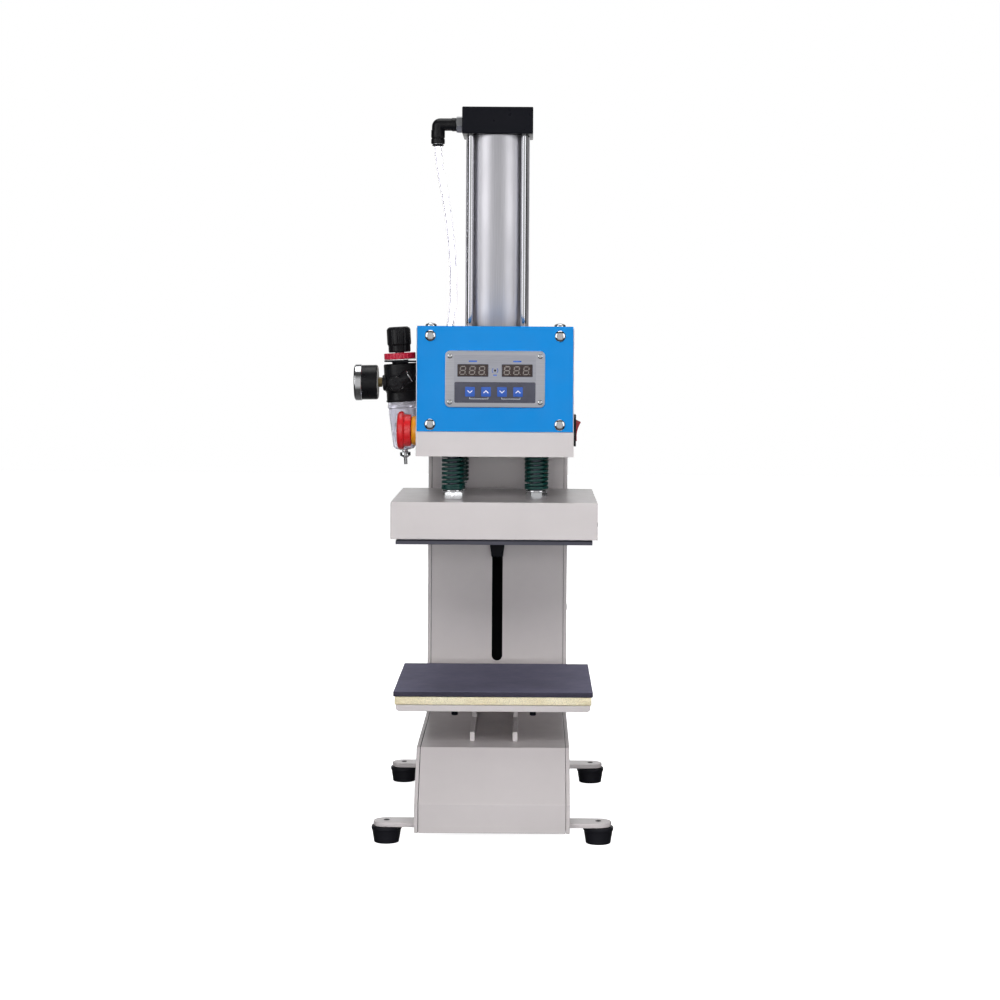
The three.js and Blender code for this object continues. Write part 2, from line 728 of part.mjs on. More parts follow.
const lowCap = block([-CAP_HALF, CAP_HALF], [-CAP_HALF, CAP_HALF], [LOW_CAP.bottom, LOW_CAP.top]);
const rodBore = disc(ROD_R + 0.4, LOW_CAP.bottom - 1, LOW_CAP.top + 1);
part("cylinder_bottom_cap", cut(lowCap, rodBore, ...tieHoles(tieFoot - GAP, LOW_CAP.top + 1)), blackPaint);

part("cylinder_tube", ring(BORE_R, TUBE_R, LOW_CAP.top + GAP, TUBE_TOP, 40), aluminium);

for (const [place, [x, y]] of Object.entries(tieRods)) {
  part(`tie_rod_${place}`, disc(TIE_ROD_R, tieFoot, tieHead, 12), chrome).position.set(x, y, 0);
}

function capElbow() {
  const z = 750;
  const face = CAP_HALF + GAP;
  const barrelX = -TUBE_ROUTE[0][0];
  const barrelLow = TUBE_ROUTE[0][2] + 0.6;
  const barrelR = 7.5;
  const hex = toMinusX(hexagon(16.5, face, face + 7)).translate(0, 0, z);
  const neck = toMinusX(disc(6.8, face + 6, barrelX, 16)).translate(0, 0, z);
  const barrel = disc(barrelR, barrelLow, z + barrelR + 0.3, 16).translate(-barrelX, 0, 0);
  return join(hex, neck, barrel);
}
part("cap_elbow", capElbow(), blackPlastic);

const airTubePath = new THREE.CatmullRomCurve3(TUBE_ROUTE.map((point) => new THREE.Vector3(...point)));
const tubeCircle = new THREE.Path().absarc(0, 0, AIR_TUBE_R, 0, 2 * Math.PI);
const tubeSection = new THREE.Shape(tubeCircle.getSpacedPoints(8));
const airTube = new THREE.ExtrudeGeometry(tubeSection, {
  extrudePath: airTubePath,
  steps: 20,
  bevelEnabled: false,
});
part("air_tube", airTube, tubePlastic);

// ---------------------------------------------------------------- control panel
const keys = Object.entries(KEY_X);
const keyZ = PANEL_Z - KEY_DROP;

function controlPanel() {
  const plate = alongY(
    roundedRectangle(PANEL_HALF_X, PANEL_HALF_Z, PANEL_CORNER, PANEL_Z),
    PANEL_FACE,
    COVER_FACE - GAP,
  );
  const body = block(
    [-PANEL_BODY.halfX, PANEL_BODY.halfX],
    [COVER_FACE - 1, PANEL_BODY.back],
    [PANEL_Z - PANEL_BODY.halfZ, PANEL_Z + PANEL_BODY.halfZ],
  );
  const half = KEY_HALF + GAP;
  const pockets = keys.map(([, x]) =>
    block([x - half, x + half], [PANEL_FACE - 1, PANEL_FACE + 4], [keyZ - half, keyZ + half]),
  );
  return cut(join(plate, body), ...pockets);
}
part("control_panel", controlPanel(), aluminium);

for (const [name, x] of keys) {
  const key = block([-KEY_HALF, KEY_HALF], [PANEL_FACE - 0.6, PANEL_FACE + 2.6], [-KEY_HALF, KEY_HALF]);
  part(`key_${name}`, key, keyBlue).position.set(x, 0, keyZ);
}

// ---------------------------------------------------------------- power switch and emergency stop
function switchBase() {
  const { y, z, halfY, halfZ, back, face } = SWITCH;
  const wall = HOUSING_HALF + GAP;
  const bezel = block([wall, face], [y - halfY, y + halfY], [z - halfZ, z + halfZ]);
  const inset = { y: halfY - 1.6, z: halfZ - 2.4 };
  const body = block([back, wall + 1], [y - inset.y, y + inset.y], [z - inset.z, z + inset.z]);
  const pocket = block(
    [back + 5, face + 1],
    [y - ROCKER_HALF - 0.6, y + ROCKER_HALF + 0.6],
    [z - ROCKER_REACH - 1, z + ROCKER_REACH + 1],
  );
  return cut(join(bezel, body), pocket);
}
part("switch_base", switchBase(), blackPlastic);

// The rocker's (y, z) outline is drawn in its own upright position and turned about its pivot.
const rockerShape = shapeOf([
  [-ROCKER_REACH, -1],
  [-5, -5],
  [5, -5],
  [ROCKER_REACH, -1],
  [ROCKER_REACH - 1.6, 6.2],
  [0, 4.2],
  [-ROCKER_REACH + 1.6, 6.2],
]);
const rockerGroup = new THREE.Group();
rockerGroup.position.set(HOUSING_HALF, SWITCH.y, SWITCH.z);
rockerGroup.rotation.y = rad(ROCKER_TILT);
machine.add(rockerGroup);
const rocker = alongX(rockerShape, -ROCKER_HALF, ROCKER_HALF)
  .rotateZ(-Math.PI / 2)
  .rotateY(Math.PI / 2);
part("power_rocker", rocker, red, rockerGroup);

// The emergency stop is drawn about Z, with height 0 at the housing wall, and turned to point along -X.
const estopGroup = new THREE.Group();
estopGroup.position.set(-HOUSING_HALF, ESTOP.y, ESTOP.z);
machine.add(estopGroup);

const estopBarrelEnd = -(HOUSING_HALF + ESTOP.back);
const estopBase = [
  [6.3, estopBarrelEnd],
  [ESTOP_HOLE_R - 0.4, estopBarrelEnd],
  [ESTOP_HOLE_R - 0.4, GAP],
  [15, GAP],
  [15, 5],
  [13.8, 6],
  [6.3, 6],
];
part("estop_collar", toMinusX(turned(estopBase, 28)), yellow, estopGroup);
part("estop_plunger", toMinusX(disc(5.9, estopBarrelEnd + 5, 17.5, 16)), blackPlastic, estopGroup);
const estopMushroom = [
  [0, 17.8],
  [6.3, 17.8],
  [6.3, 13],
  [15.4, 13],
  [15.4, 6.4],
  [16.8, 6.4],
  [16.8, 13.6],
  [19, 14],
  [20, 15.2],
  [20, 18],
  [18.6, 20],
  [15, 21],
  [0, 21.4],
];
part("estop_mushroom", toMinusX(turned(estopMushroom, 28)), red, estopGroup);

// ---------------------------------------------------------------- air filter and regulator
// Drawn about its own upright axis, height 0 at the gauge port, in a group that leans outwards a little.
const regulator = new THREE.Group();
regulator.position.set(REGULATOR_AT.x, REGULATOR_AT.y, REGULATOR_AT.z);
regulator.rotation.y = rad(REGULATOR_LEAN);
machine.add(regulator);

function regulatorBody() {
  const shell = turned(
    [
      [5.4, 12],
      [5.4, 33],
      [9, 33],
      [9, 22.6],
      [15, 22.6],
      [18.2, 19.8],
      [18.2, -6],
      [17.2, -7],
      [17.2, -18.4],
      [0, -18.4],
      [0, 12],
    ],
    24,
  );
  const portR = 7.5;
  const outlet = { x: -3.5, y: -26, z: 1.5, lean: 62 };
  const gaugePort = toMinusX(disc(portR, 10, 20, 12)).translate(0, 0, GAUGE_HEIGHT);
  const outletPort = toMinusY(disc(portR, 10, 1 - outlet.y, 12)).translate(outlet.x, 0, outlet.z);
  const outletBarrel = disc(7, -3, 19.5, 12)
    .rotateY(rad(outlet.lean))
    .translate(outlet.x, outlet.y, outlet.z);
  const inletPort = toMinusY(disc(portR, -34, -10, 12)).translate(0, 0, -2);
  const lockRing = ring(8, 17, 27.4, 34.3, 28);
  return join(shell, gaugePort, outletPort, outletBarrel, inletPort, lockRing);
}
part("regulator_body", regulatorBody(), blackPlastic, regulator);

function regulatorBracket() {
  const wall = -HOUSING_HALF - GAP;
  const { x, z, half, thick, rise, holeX, holeR } = BRACKET;
  const y = [REGULATOR_AT.y - half, REGULATOR_AT.y + half];
  const shelf = block([x, wall], y, [z, z + thick]);
  const flange = block([wall - thick, wall], y, [z, z + rise]);
  const hole = disc(holeR, z - 1, z + thick + 1).translate(holeX, REGULATOR_AT.y, 0);
  return cut(join(shelf, flange), hole);
}
part("regulator_bracket", regulatorBracket(), steel);

part("regulator_spindle", disc(5, 12.4, 51, 12), steel, regulator);
const knobProfile = [
  [0, 52],
  [5.4, 52],
  [5.4, 34.7],
  [12, 34.7],
  [12, 42.5],
  [13, 44],
  [13, 60.6],
  [11.3, 62.5],
  [0, 62.5],
];
part("regulator_knob", turned(knobProfile, 24), blackPlastic, regulator);

const bowlProfile = [
  [3.4, -70],
  [9.5, -69.6],
  [12.4, -66.5],
  [14.9, -34],
  [15.8, -18.8],
  [13.8, -18.8],
  [12.9, -34],
  [10.4, -64],
  [8.5, -67.4],
  [3.4, -67.6],
];
part("filter_bowl", turned(bowlProfile, 24), clearPlastic, regulator);
const drainProfile = [
  [0, -86.4],
  [1.9, -86.4],
  [1.9, -79.5],
  [5.9, -77],
  [5.9, -73],
  [3, -72.4],
  [3, -64],
  [0, -64],
];
part("drain_valve", turned(drainProfile, 16), chrome, regulator);

const gauge = new THREE.Group();
gauge.position.set(0, 0, GAUGE_HEIGHT);
gauge.rotation.y = rad(GAUGE_LEVEL);
regulator.add(gauge);
const gaugeProfile = [
  [0, 20.6],
  [5, 20.6],
  [5, 25],
  [18.7, 25],
  [18.7, 42],
  [20, 42],
  [20, 49.6],
  [18.8, 50.4],
  [17.6, 50.4],
  [17.6, 46],
  [0, 46],
];
part("pressure_gauge", toMinusX(turned(gaugeProfile, 32)), blackPlastic, gauge);

// The pointer lies just over the dial and starts at the scale's zero, lower left as the operator reads it.
const pointer = toMinusX(
  join(disc(2, 46.3, 48.3, 12), block([-1, 1], [0, 13], [46.8, 47.6]).rotateZ(rad(45))),
);
part("gauge_needle", pointer, red, gauge);

const stamper = new THREE.Group();
stamper.name = "hot_foil_stamper";
stamper.add(machine);

export default stamper;
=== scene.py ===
import math
import random

import bmesh
import bpy
from mathutils import Matrix, Vector


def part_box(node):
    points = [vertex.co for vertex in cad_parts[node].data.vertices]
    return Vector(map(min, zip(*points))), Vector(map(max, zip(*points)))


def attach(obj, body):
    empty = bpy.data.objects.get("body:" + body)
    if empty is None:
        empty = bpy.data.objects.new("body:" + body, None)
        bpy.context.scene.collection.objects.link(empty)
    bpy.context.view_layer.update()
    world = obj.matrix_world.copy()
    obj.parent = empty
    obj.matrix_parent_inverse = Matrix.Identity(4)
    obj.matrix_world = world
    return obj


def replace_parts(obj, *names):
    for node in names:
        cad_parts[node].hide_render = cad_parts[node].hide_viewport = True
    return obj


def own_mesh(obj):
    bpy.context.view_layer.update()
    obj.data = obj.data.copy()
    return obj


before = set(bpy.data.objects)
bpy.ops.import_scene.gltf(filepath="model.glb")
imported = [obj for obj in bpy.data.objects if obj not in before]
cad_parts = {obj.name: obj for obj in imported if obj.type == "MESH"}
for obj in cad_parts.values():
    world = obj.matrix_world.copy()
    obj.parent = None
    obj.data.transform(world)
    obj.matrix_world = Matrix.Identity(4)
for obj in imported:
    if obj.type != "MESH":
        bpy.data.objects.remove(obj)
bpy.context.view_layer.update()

MM = 0.001
UP = Vector((0, 0, 1))
FRONT = Vector((0, -1, 0))
LEFT = Vector((-1, 0, 0))
RIGHT = Vector((1, 0, 0))
BACK = Vector((0, 1, 0))


def middle(node):
    low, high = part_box(node)
    return (low + high) / 2


# Places are in millimetres: x and y from the cylinder's axis, z from a datum that lies FLOOR below the real floor.
AXIS = middle("cylinder_tube")
FLOOR = 2.6


def at(x, y, z):
    """A place in the scene, given in the millimetres described above."""
    return Vector((AXIS.x + x * MM, AXIS.y + y * MM, (z - FLOOR) * MM))


def local_box(node):
    """A CAD node's box as (low, high) in the millimetres that at() takes."""
    shift = Vector((AXIS.x, AXIS.y, -FLOOR * MM))
    return [(corner - shift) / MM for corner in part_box(node)]


# ---------------------------------------------------------------- camera
CAMERA_AT = (37, -2355, 520)
FOCAL_LENGTH = 79.2
SENSOR_WIDTH = 36
SHIFT = (-0.0314, -0.160)
ROLL = -0.36
FARTHEST_SEEN = 50


def make_camera():
    data = bpy.data.cameras.new("camera")
    data.lens = FOCAL_LENGTH
    data.sensor_width = SENSOR_WIDTH
    data.shift_x, data.shift_y = SHIFT
    data.clip_end = FARTHEST_SEEN
    camera = bpy.data.objects.new("camera", data)
    camera.location = at(*CAMERA_AT)
    camera.rotation_euler = (math.pi / 2, math.radians(ROLL), 0)
    bpy.context.scene.collection.objects.link(camera)
    bpy.context.scene.camera = camera


make_camera()


# ---------------------------------------------------------------- materials
class NodeTree:
    """A node tree that is built one node at a time."""

    def __init__(self, tree):
        self.tree = tree

    def feed(self, socket, value):
        """Sets a socket to a constant, or links another node's output to it."""
        if isinstance(value, bpy.types.NodeSocket):
            self.tree.links.new(value, socket)
        else:
            socket.default_value = value

    def node(self, kind, inputs=None, **settings):
        made = self.tree.nodes.new(kind)
        for key, value in settings.items():
            setattr(made, key, value)
        for key, value in (inputs or {}).items():
            self.feed(made.inputs[key], value)
        return made

    def math(self, operation, *values):
        return self.node("ShaderNodeMath", dict(enumerate(values)), operation=operation).outputs[0]

    def ramp(self, value, low, high, out_low=0.0, out_high=1.0):
        inputs = {0: value, 1: low, 2: high, 3: out_low, 4: out_high}
        return self.node("ShaderNodeMapRange", inputs).outputs[0]


class Shader(NodeTree):
    """A material whose nodes feed a Principled shader."""

    def __init__(self, name, **inputs):
        self.material = bpy.data.materials.new(name)
        self.material.use_nodes = True
        super().__init__(self.material.node_tree)
        self.shader = self.tree.nodes["Principled BSDF"]
        for key, value in inputs.items():
            self.shader.inputs[key.replace("_", " ").title().replace("Ior", "IOR")].default_value = value
        coordinates = self.tree.nodes.new("ShaderNodeTexCoord")
        self.place = coordinates.outputs["Object"]

    def stretched(self, x, y, z):
        return self.node("ShaderNodeMapping", {"Vector": self.place, "Scale": (x, y, z)}).outputs[0]

    def noise(self, scale, detail=3, roughness=0.5, place=None):
        inputs = {"Vector": place or self.place, "Scale": scale, "Detail": detail, "Roughness": roughness}
        return self.node("ShaderNodeTexNoise", inputs).outputs[0]

    def mix(self, share, first, second):
        return self.node("ShaderNodeMix", {0: share, 6: first, 7: second}, data_type="RGBA").outputs[2]

    def colour(self, socket):
        self.tree.links.new(socket, self.shader.inputs["Base Color"])

    def roughness(self, socket):
        self.tree.links.new(socket, self.shader.inputs["Roughness"])

    def bump(self, height, distance, strength=1.0):
        before = self.shader.inputs["Normal"]
        node = self.node("ShaderNodeBump", {"Height": height, "Distance": distance, "Strength": strength})
        if before.is_linked:
            self.tree.links.new(before.links[0].from_socket, node.inputs["Normal"])
        self.tree.links.new(node.outputs[0], before)


def srgb(red, green, blue, alpha=1.0):
    """A colour given in 0 to 255 as a screen shows it, in the linear values that a shader needs."""

    def linear(channel):
        c = channel / 255
        return c / 12.92 if c <= 0.04045 else ((c + 0.055) / 1.055) ** 2.4

    return (linear(red), linear(green), linear(blue), alpha)


def shaded(colour, factor):
    return tuple(min(1.0, c * factor) for c in colour[:3]) + (1.0,)


def paint(name, colour, roughness=0.36, peel=0.00002, coat=0.15, gloss=0.4):
    """Stove enamel: a little uneven in tone and gloss, with the fine waviness of sprayed paint."""
    s = Shader(name, metallic=0.0, coat_weight=coat, coat_roughness=0.18, specular_ior_level=gloss)
    blotch = s.noise(9, 4, 0.6)
    s.colour(s.mix(s.ramp(blotch, 0.3, 0.7), shaded(colour, 0.95), shaded(colour, 1.03)))
    s.roughness(s.ramp(s.noise(60, 3), 0.3, 0.7, roughness - 0.05, roughness + 0.07))
    s.bump(s.noise(420, 2), peel, 0.5)
    s.bump(s.noise(2600, 1), peel / 4, 0.35)
    return s.material


def moulded(name, colour, roughness=0.35, grain=0.00001, coat=0.0, gloss=0.5):
    """Injection-moulded plastic with fine spark texture and faint handling marks."""
    s = Shader(name, metallic=0.0, specular_ior_level=gloss, coat_weight=coat, coat_roughness=0.1)
    s.colour(s.mix(s.ramp(s.noise(40, 3), 0.35, 0.7), shaded(colour, 0.9), shaded(colour, 1.1)))
    s.roughness(s.ramp(s.noise(150, 4), 0.3, 0.7, roughness - 0.06, roughness + 0.08))
    s.bump(s.noise(1800, 2), grain, 0.6)
    return s.material


def metal(name, colour, roughness, drawn=(1, 1, 1), grain=0.000006, spread=0.06):
    """Bare or plated metal. drawn stretches its marks: a small number along the direction they run in."""
    s = Shader(name, metallic=1.0, specular_ior_level=0.5)
    lines = s.noise(900, 3, 0.6, s.stretched(*drawn))
    s.colour(s.mix(s.ramp(lines, 0.3, 0.7), shaded(colour, 0.92), shaded(colour, 1.04)))
    smudge = s.noise(25, 3)
    worn = s.math("MULTIPLY", lines, smudge)
    s.roughness(s.ramp(worn, 0.12, 0.42, roughness - spread, roughness + spread))
    s.bump(lines, grain, 0.5)
    return s.material


def rubber(name, colour, roughness=0.75, grain=0.00004):
    s = Shader(name, metallic=0.0, specular_ior_level=0.2)
    dust = s.noise(14, 5, 0.65)
    s.colour(s.mix(s.ramp(dust, 0.35, 0.75), shaded(colour, 0.88), shaded(colour, 1.15)))
    s.roughness(s.ramp(s.noise(90, 3), 0.3, 0.7, roughness - 0.08, roughness + 0.08))
    s.bump(s.noise(1100, 3, 0.7), grain, 0.6)
    return s.material


def cellular(name, colour):
    """Open-cell foam: pale walls round small pores of two sizes; the finer pores are painted darker, as shade in their
    hollows.
    """
    s = Shader(name, metallic=0.0, roughness=0.92, specular_ior_level=0.2, subsurface_weight=0.08)
    s.shader.inputs["Subsurface Radius"].default_value = (0.004, 0.003, 0.002)
    pores = s.node("ShaderNodeTexVoronoi", {"Vector": s.place, "Scale": 900.0}, feature="F1").outputs[0]
    cells = s.node("ShaderNodeTexVoronoi", {"Vector": s.place, "Scale": 380.0}, feature="F1").outputs[0]
    # Painted shade: the colour darkens inside the finer pores.
    pore_shade = s.ramp(pores, 0.05, 0.55)
    tone = s.mix(pore_shade, shaded(colour, 0.62), shaded(colour, 1.06))
    s.colour(s.mix(s.ramp(s.noise(30, 4), 0.3, 0.75, 0.0, 0.45), tone, srgb(214, 196, 150)))
    s.bump(pores, 0.0004, 0.9)
    s.bump(cells, 0.0005, 0.5)
    return s.material


def clear(name, colour, roughness=0.05, ior=1.45, body=0.0):
    """Clear or milky plastic. body is how much of it is a plain surface instead of see-through."""
    s = Shader(name, metallic=0.0, roughness=roughness, transmission_weight=1.0 - body, ior=ior)
    s.colour(s.mix(s.ramp(s.noise(60, 3), 0.35, 0.7), shaded(colour, 0.94), shaded(colour, 1.0)))
    s.bump(s.noise(260, 2), 0.000008, 0.3)
    return s.material


GREY = paint("stand_enamel", srgb(200, 194, 195), gloss=0.5)
BLUE = paint("blue_enamel", srgb(0, 133, 212), 0.34, coat=0.0, gloss=0.08)
BLACK_PAINT = paint("black_anodised", srgb(14, 15, 22), 0.3, 0.000015, 0.0, 0.12)
FOOT_RUBBER = rubber("foot_rubber", srgb(25, 25, 30), 0.5)
PAD_RUBBER = rubber("pad_rubber", srgb(112, 110, 132), 0.8, 0.00003)
# Painted shade: a darker copy of the pad rubber for the pad's sides, while the top keeps the lighter copy.
PAD_SIDE_SHADE = rubber("pad_side_shade", srgb(60, 58, 72), 0.85, 0.00004)
FOAM = cellular("cream_foam", srgb(238, 229, 201))
CHROME = metal("chrome", (0.87, 0.88, 0.9, 1), 0.12, (1, 1, 1), 0.000002, 0.05)
STEEL = metal("zinc_steel", (0.6, 0.61, 0.63, 1), 0.34)
ROD_STEEL = metal("drawn_rod", (0.8, 0.8, 0.84, 1), 0.1, (1, 1, 0.02), 0.0000008, 0.03)
TUBE_ALUMINIUM = metal("drawn_tube", (0.85, 0.84, 0.89, 1), 0.42, (1, 1, 0.02), 0.000003)
MILLED = metal("milled_plate", (0.62, 0.63, 0.68, 1), 0.38, (0.03, 1, 1), 0.000006)
HOT_PLATE = metal("hot_plate", (0.2, 0.2, 0.25, 1), 0.45, (0.03, 1, 1), 0.000006)
BRASS = metal("brass", (0.78, 0.55, 0.24, 1), 0.28)
OLD_BRASS = metal("dull_brass", (0.4, 0.3, 0.14, 1), 0.35)
SPRING_GREEN = paint("spring_enamel", srgb(1, 50, 46), 0.26, 0.00002, 0.3)
BLACK_PLASTIC = moulded("black_plastic", srgb(17, 17, 20), 0.3, gloss=0.32)
DULL_BLACK = moulded("dull_black", srgb(22, 22, 24), 0.6, gloss=0.2)
RED_PLASTIC = moulded("red_plastic", srgb(200, 30, 36), 0.28, 0.000006, 0.3)
RING_RED = moulded("ring_red", srgb(190, 28, 58), 0.36)
DARK_RED = moulded("dark_red", srgb(150, 22, 30), 0.25, 0.000006, 0.2)
YELLOW_PLASTIC = moulded("yellow_plastic", srgb(243, 160, 28), 0.32)
BOARD = moulded("insulation_board", srgb(214, 203, 178), 0.85, 0.00005)
WHITE_PLASTIC = moulded("filter_white", srgb(235, 235, 232), 0.6)
CLEAR_BOWL = clear("clear_bowl", (0.86, 0.85, 0.93, 1), 0.12, 1.3, 0.3)
TUBE_PLASTIC = clear("tube_plastic", (0.94, 0.93, 0.99, 1), 0.12, 1.35, 0.12)


# ---------------------------------------------------------------- mesh building
def piece(name, bm, material, body, smooth=40, doubles=1e-6):
    """Turns a bmesh into an object that rides on a body. Faces that meet at less than smooth degrees look round."""
    bmesh.ops.remove_doubles(bm, verts=bm.verts, dist=doubles)
    bmesh.ops.recalc_face_normals(bm, faces=bm.faces)
    mesh = bpy.data.meshes.new(name)
    bm.to_mesh(mesh)
    bm.free()
    mesh.shade_smooth()
    mesh.set_sharp_from_angle(angle=math.radians(smooth))
    made = bpy.data.objects.new(name, mesh)
    made.data.materials.append(material)
    bpy.context.scene.collection.objects.link(made)
    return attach(made, body)


def stands_for(made, node):
    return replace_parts(made, node)


def turn_to(direction, spin=0.0):
    """The rotation that takes +Z to a direction, after a spin about Z in degrees."""
    turned = UP.rotation_difference(Vector(direction)).to_matrix()
    return turned @ Matrix.Rotation(math.radians(spin), 3, "Z")


def bend(first, corner, last, steps):
    """A curve from first to last that leaves and arrives along the lines through corner."""
    shares = [k / steps for k in range(steps + 1)]
    return [first * (1 - t) ** 2 + corner * 2 * t * (1 - t) + last * t * t for t in shares]


def softened(profile, radius, steps=3):
    """Rounds the corners of a (radius, height) profile in millimetres, as far as its sides allow."""
    made = []
    for i, point in enumerate(profile):
        here = Vector(point)
        if i in (0, len(profile) - 1):
            made.append(here)
            continue
        before, after = Vector(profile[i - 1]), Vector(profile[i + 1])
        into, out = here - before, after - here
        reach = min(radius, 0.45 * into.length, 0.45 * out.length)
        if into.angle(out, 0) < 0.2 or reach < 0.01:
            made.append(here)
            continue
        made += bend(here - into.normalized() * reach, here, here + out.normalized() * reach, steps)
    return made


def add_turned(bm, profile, centre, direction=UP, segments=64, radius_at=None):
    """A (radius, height) profile in millimetres, turned about a direction through centre.
    It starts and ends on the axis, or closes on itself. radius_at(angle, r, h) may shape each ring."""
    turn = turn_to(direction)
    closed = profile[0][0] > 1e-6
    rings = []
    for r, h in profile:
        if r < 1e-6:
            rings.append([bm.verts.new(centre + turn @ Vector((0, 0, h * MM)))])
            continue
        ring = []
        for k in range(segments):
            angle = 2 * math.pi * k / segments
            reach = radius_at(angle, r, h) if radius_at else r
            place = Vector((reach * math.cos(angle), reach * math.sin(angle), h)) * MM
            ring.append(bm.verts.new(centre + turn @ place))
        rings.append(ring)
    pairs = list(zip(rings, rings[1:]))
    if closed:
        pairs.append((rings[-1], rings[0]))
    for low, high in pairs:
        for k in range(segments):
            m = (k + 1) % segments
            corners = [low[k % len(low)], low[m % len(low)], high[m % len(high)], high[k % len(high)]]
            unique = list(dict.fromkeys(corners))
            if len(unique) > 2:
                bm.faces.new(unique)


def turned(name, profile, centre, material, body, direction=UP, soft=0.4, segments=64, radius_at=None):
    bm = bmesh.new()
    add_turned(bm, softened(profile, soft) if soft else profile, centre, direction, segments, radius_at)
    return piece(name, bm, material, body)


def lathe(centre, direction):
    """Gives a function that turns profiles about one axis and gives each solid the node it stands for. Its slot
    argument is not used.
    """

    def turn(name, profile, material, slot, soft, segments, body="machine", node=None, radius_at=None):
        made = turned(name, profile, centre, material, body, direction, soft, segments, radius_at)
        return stands_for(made, node) if node else made

    return turn


def add_band(bm, low, high):
    """Faces from one ring of vertices to the next."""
    for k in range(len(low)):
        m = (k + 1) % len(low)
        bm.faces.new((low[k], low[m], high[m], high[k]))


def add_prism(bm, outline, depth, place):
    """A flat outline of (u, v) millimetres, drawn out by depth, placed by a 4x4 matrix in metres."""
    low = [bm.verts.new(place @ Vector((u * MM, v * MM, 0))) for u, v in outline]
    high = [bm.verts.new(place @ Vector((u * MM, v * MM, depth * MM))) for u, v in outline]
    bm.faces.new(reversed(low))
    bm.faces.new(high)
    add_band(bm, low, high)


def facing(direction, origin, u_axis):
    """A placing matrix whose z looks along direction and whose x is u_axis."""
    z = Vector(direction).normalized()
    x = Vector(u_axis).normalized()
    turn = Matrix((x, z.cross(x), z)).transposed()
    return Matrix.Translation(origin) @ turn.to_4x4()


def bevel_edges(bm, width, segments=2, angle=30):
    edges = [e for e in bm.edges if len(e.link_faces) == 2 and e.calc_face_angle(0) > math.radians(angle)]
    bmesh.ops.bevel(bm, geom=edges, offset=width * MM, segments=segments, profile=0.5, affect="EDGES")


def prism(name, outline, depth, place, material, body, bevel=0.3, segments=2):
    bm = bmesh.new()
    add_prism(bm, outline, depth, place)
    bmesh.ops.recalc_face_normals(bm, faces=bm.faces)
    if bevel:
        bevel_edges(bm, bevel, segments)
    return piece(name, bm, material, body)


def polar(radius, degrees):
    angle = math.radians(degrees)
    return radius * math.cos(angle), radius * math.sin(angle)


def rounded_outline(half_u, half_v, radius, steps=6):
    points = []
    for u, v, start in ((half_u, -half_v, -90), (half_u, half_v, 0), (-half_u, half_v, 90), (-half_u, -half_v, 180)):
        cu, cv = u - math.copysign(radius, u), v - math.copysign(radius, v)
        for k in range(steps + 1):
            du, dv = polar(radius, start + 90 * k / steps)
            points.append((cu + du, cv + dv))
    return points


def round_outline(radius, segments):
    return [polar(radius, 360 * k / segments) for k in range(segments)]


def add_box(bm, low, high):
    """A box between two corners in metres."""
    made = bmesh.ops.create_cube(bm, size=1)["verts"]
    size = high - low
    for v in made:
        v.co = low + Vector(((v.co[i] + 0.5) * size[i] for i in range(3)))


def box_piece(name, low, high, material, body, bevel=0.5, segments=3):
    bm = bmesh.new()
    add_box(bm, low, high)
    bevel_edges(bm, bevel, segments)
    return piece(name, bm, material, body)


def nut_radius(across, height):
    """Shapes a turned solid into a six-sided nut whose corners are cut back by a cone at both ends."""

    def at_angle(angle, r, h):
        flat = (angle + math.pi / 6) % (math.pi / 3) - math.pi / 6
        side = across / 2 / math.cos(flat)
        from_end = min(h, height - h)
        cone = across / 2 * 0.98 + from_end / math.tan(math.radians(30))
        return min(r, side, cone)

    return at_angle


def hex_nut(name, across, height, centre, material, body, direction=UP, bore=0.0, spin=0.0):
    """A chamfered hexagon nut standing on centre; spin turns its flats, in degrees."""
    levels = [0, 0.05, 0.1, 0.16, 0.84, 0.9, 0.95, 1]
    corner = across / math.sqrt(3) + 0.01
    profile = [(bore, 0), *[(corner, height * share) for share in levels], (bore, height)]
    shape = nut_radius(across, height)

    def radius_at(angle, r, h):
        return r if r <= bore else shape(angle + math.radians(spin), r, h)

    bm = bmesh.new()
    add_turned(bm, profile, centre, direction, 72, radius_at)
    return piece(name, bm, material, body, 28)


def sweep(name, points, section, material, body):
    """Sweeps a (u, v) section in metres along points in metres, with a frame that doesn't twist."""
    bm = bmesh.new()
    tangents = []
    for i in range(len(points)):
        ahead = points[min(i + 1, len(points) - 1)]
        behind = points[max(i - 1, 0)]
        tangents.append((ahead - behind).normalized())
    side = UP.cross(tangents[0]).normalized()
    rings = []
    for i, point in enumerate(points):
        if i:
            side = tangents[i - 1].rotation_difference(tangents[i]) @ side
        other = tangents[i].cross(side).normalized()
        rings.append([bm.verts.new(point + side * u + other * v) for u, v in section])
    for low, high in zip(rings, rings[1:]):
        add_band(bm, low, high)
    bm.faces.new(reversed(rings[0]))
    bm.faces.new(rings[-1])
    return piece(name, bm, material, body, 50)


def smooth_route(points, per_span=8):
    """A Catmull-Rom curve through points."""
    made = []
    for i in range(len(points) - 1):
        p0, p1 = points[max(i - 1, 0)], points[i]
        p2, p3 = points[i + 1], points[min(i + 2, len(points) - 1)]
        for k in range(per_span):
            t = k / per_span
            pull = 2 * p1 + (p2 - p0) * t + (2 * p0 - 5 * p1 + 4 * p2 - p3) * t * t
            made.append((pull + (3 * p1 - p0 - 3 * p2 + p3) * t ** 3) / 2)
    made.append(points[-1])
    return made


def carve(target, cutters):
    """Cuts the cutters out of the target's mesh and removes them."""
    for cutter in cutters:
        tool = target.modifiers.new("carve", "BOOLEAN")
        tool.operation = "DIFFERENCE"
        tool.solver = "EXACT"
        tool.object = cutter
    bpy.context.view_layer.update()
    graph = bpy.context.evaluated_depsgraph_get()
    made = bpy.data.meshes.new_from_object(target.evaluated_get(graph))
    target.modifiers.clear()
    target.data = made
    made.shade_smooth()
    made.set_sharp_from_angle(angle=math.radians(35))
    for cutter in cutters:
        bpy.data.objects.remove(cutter)
    return target


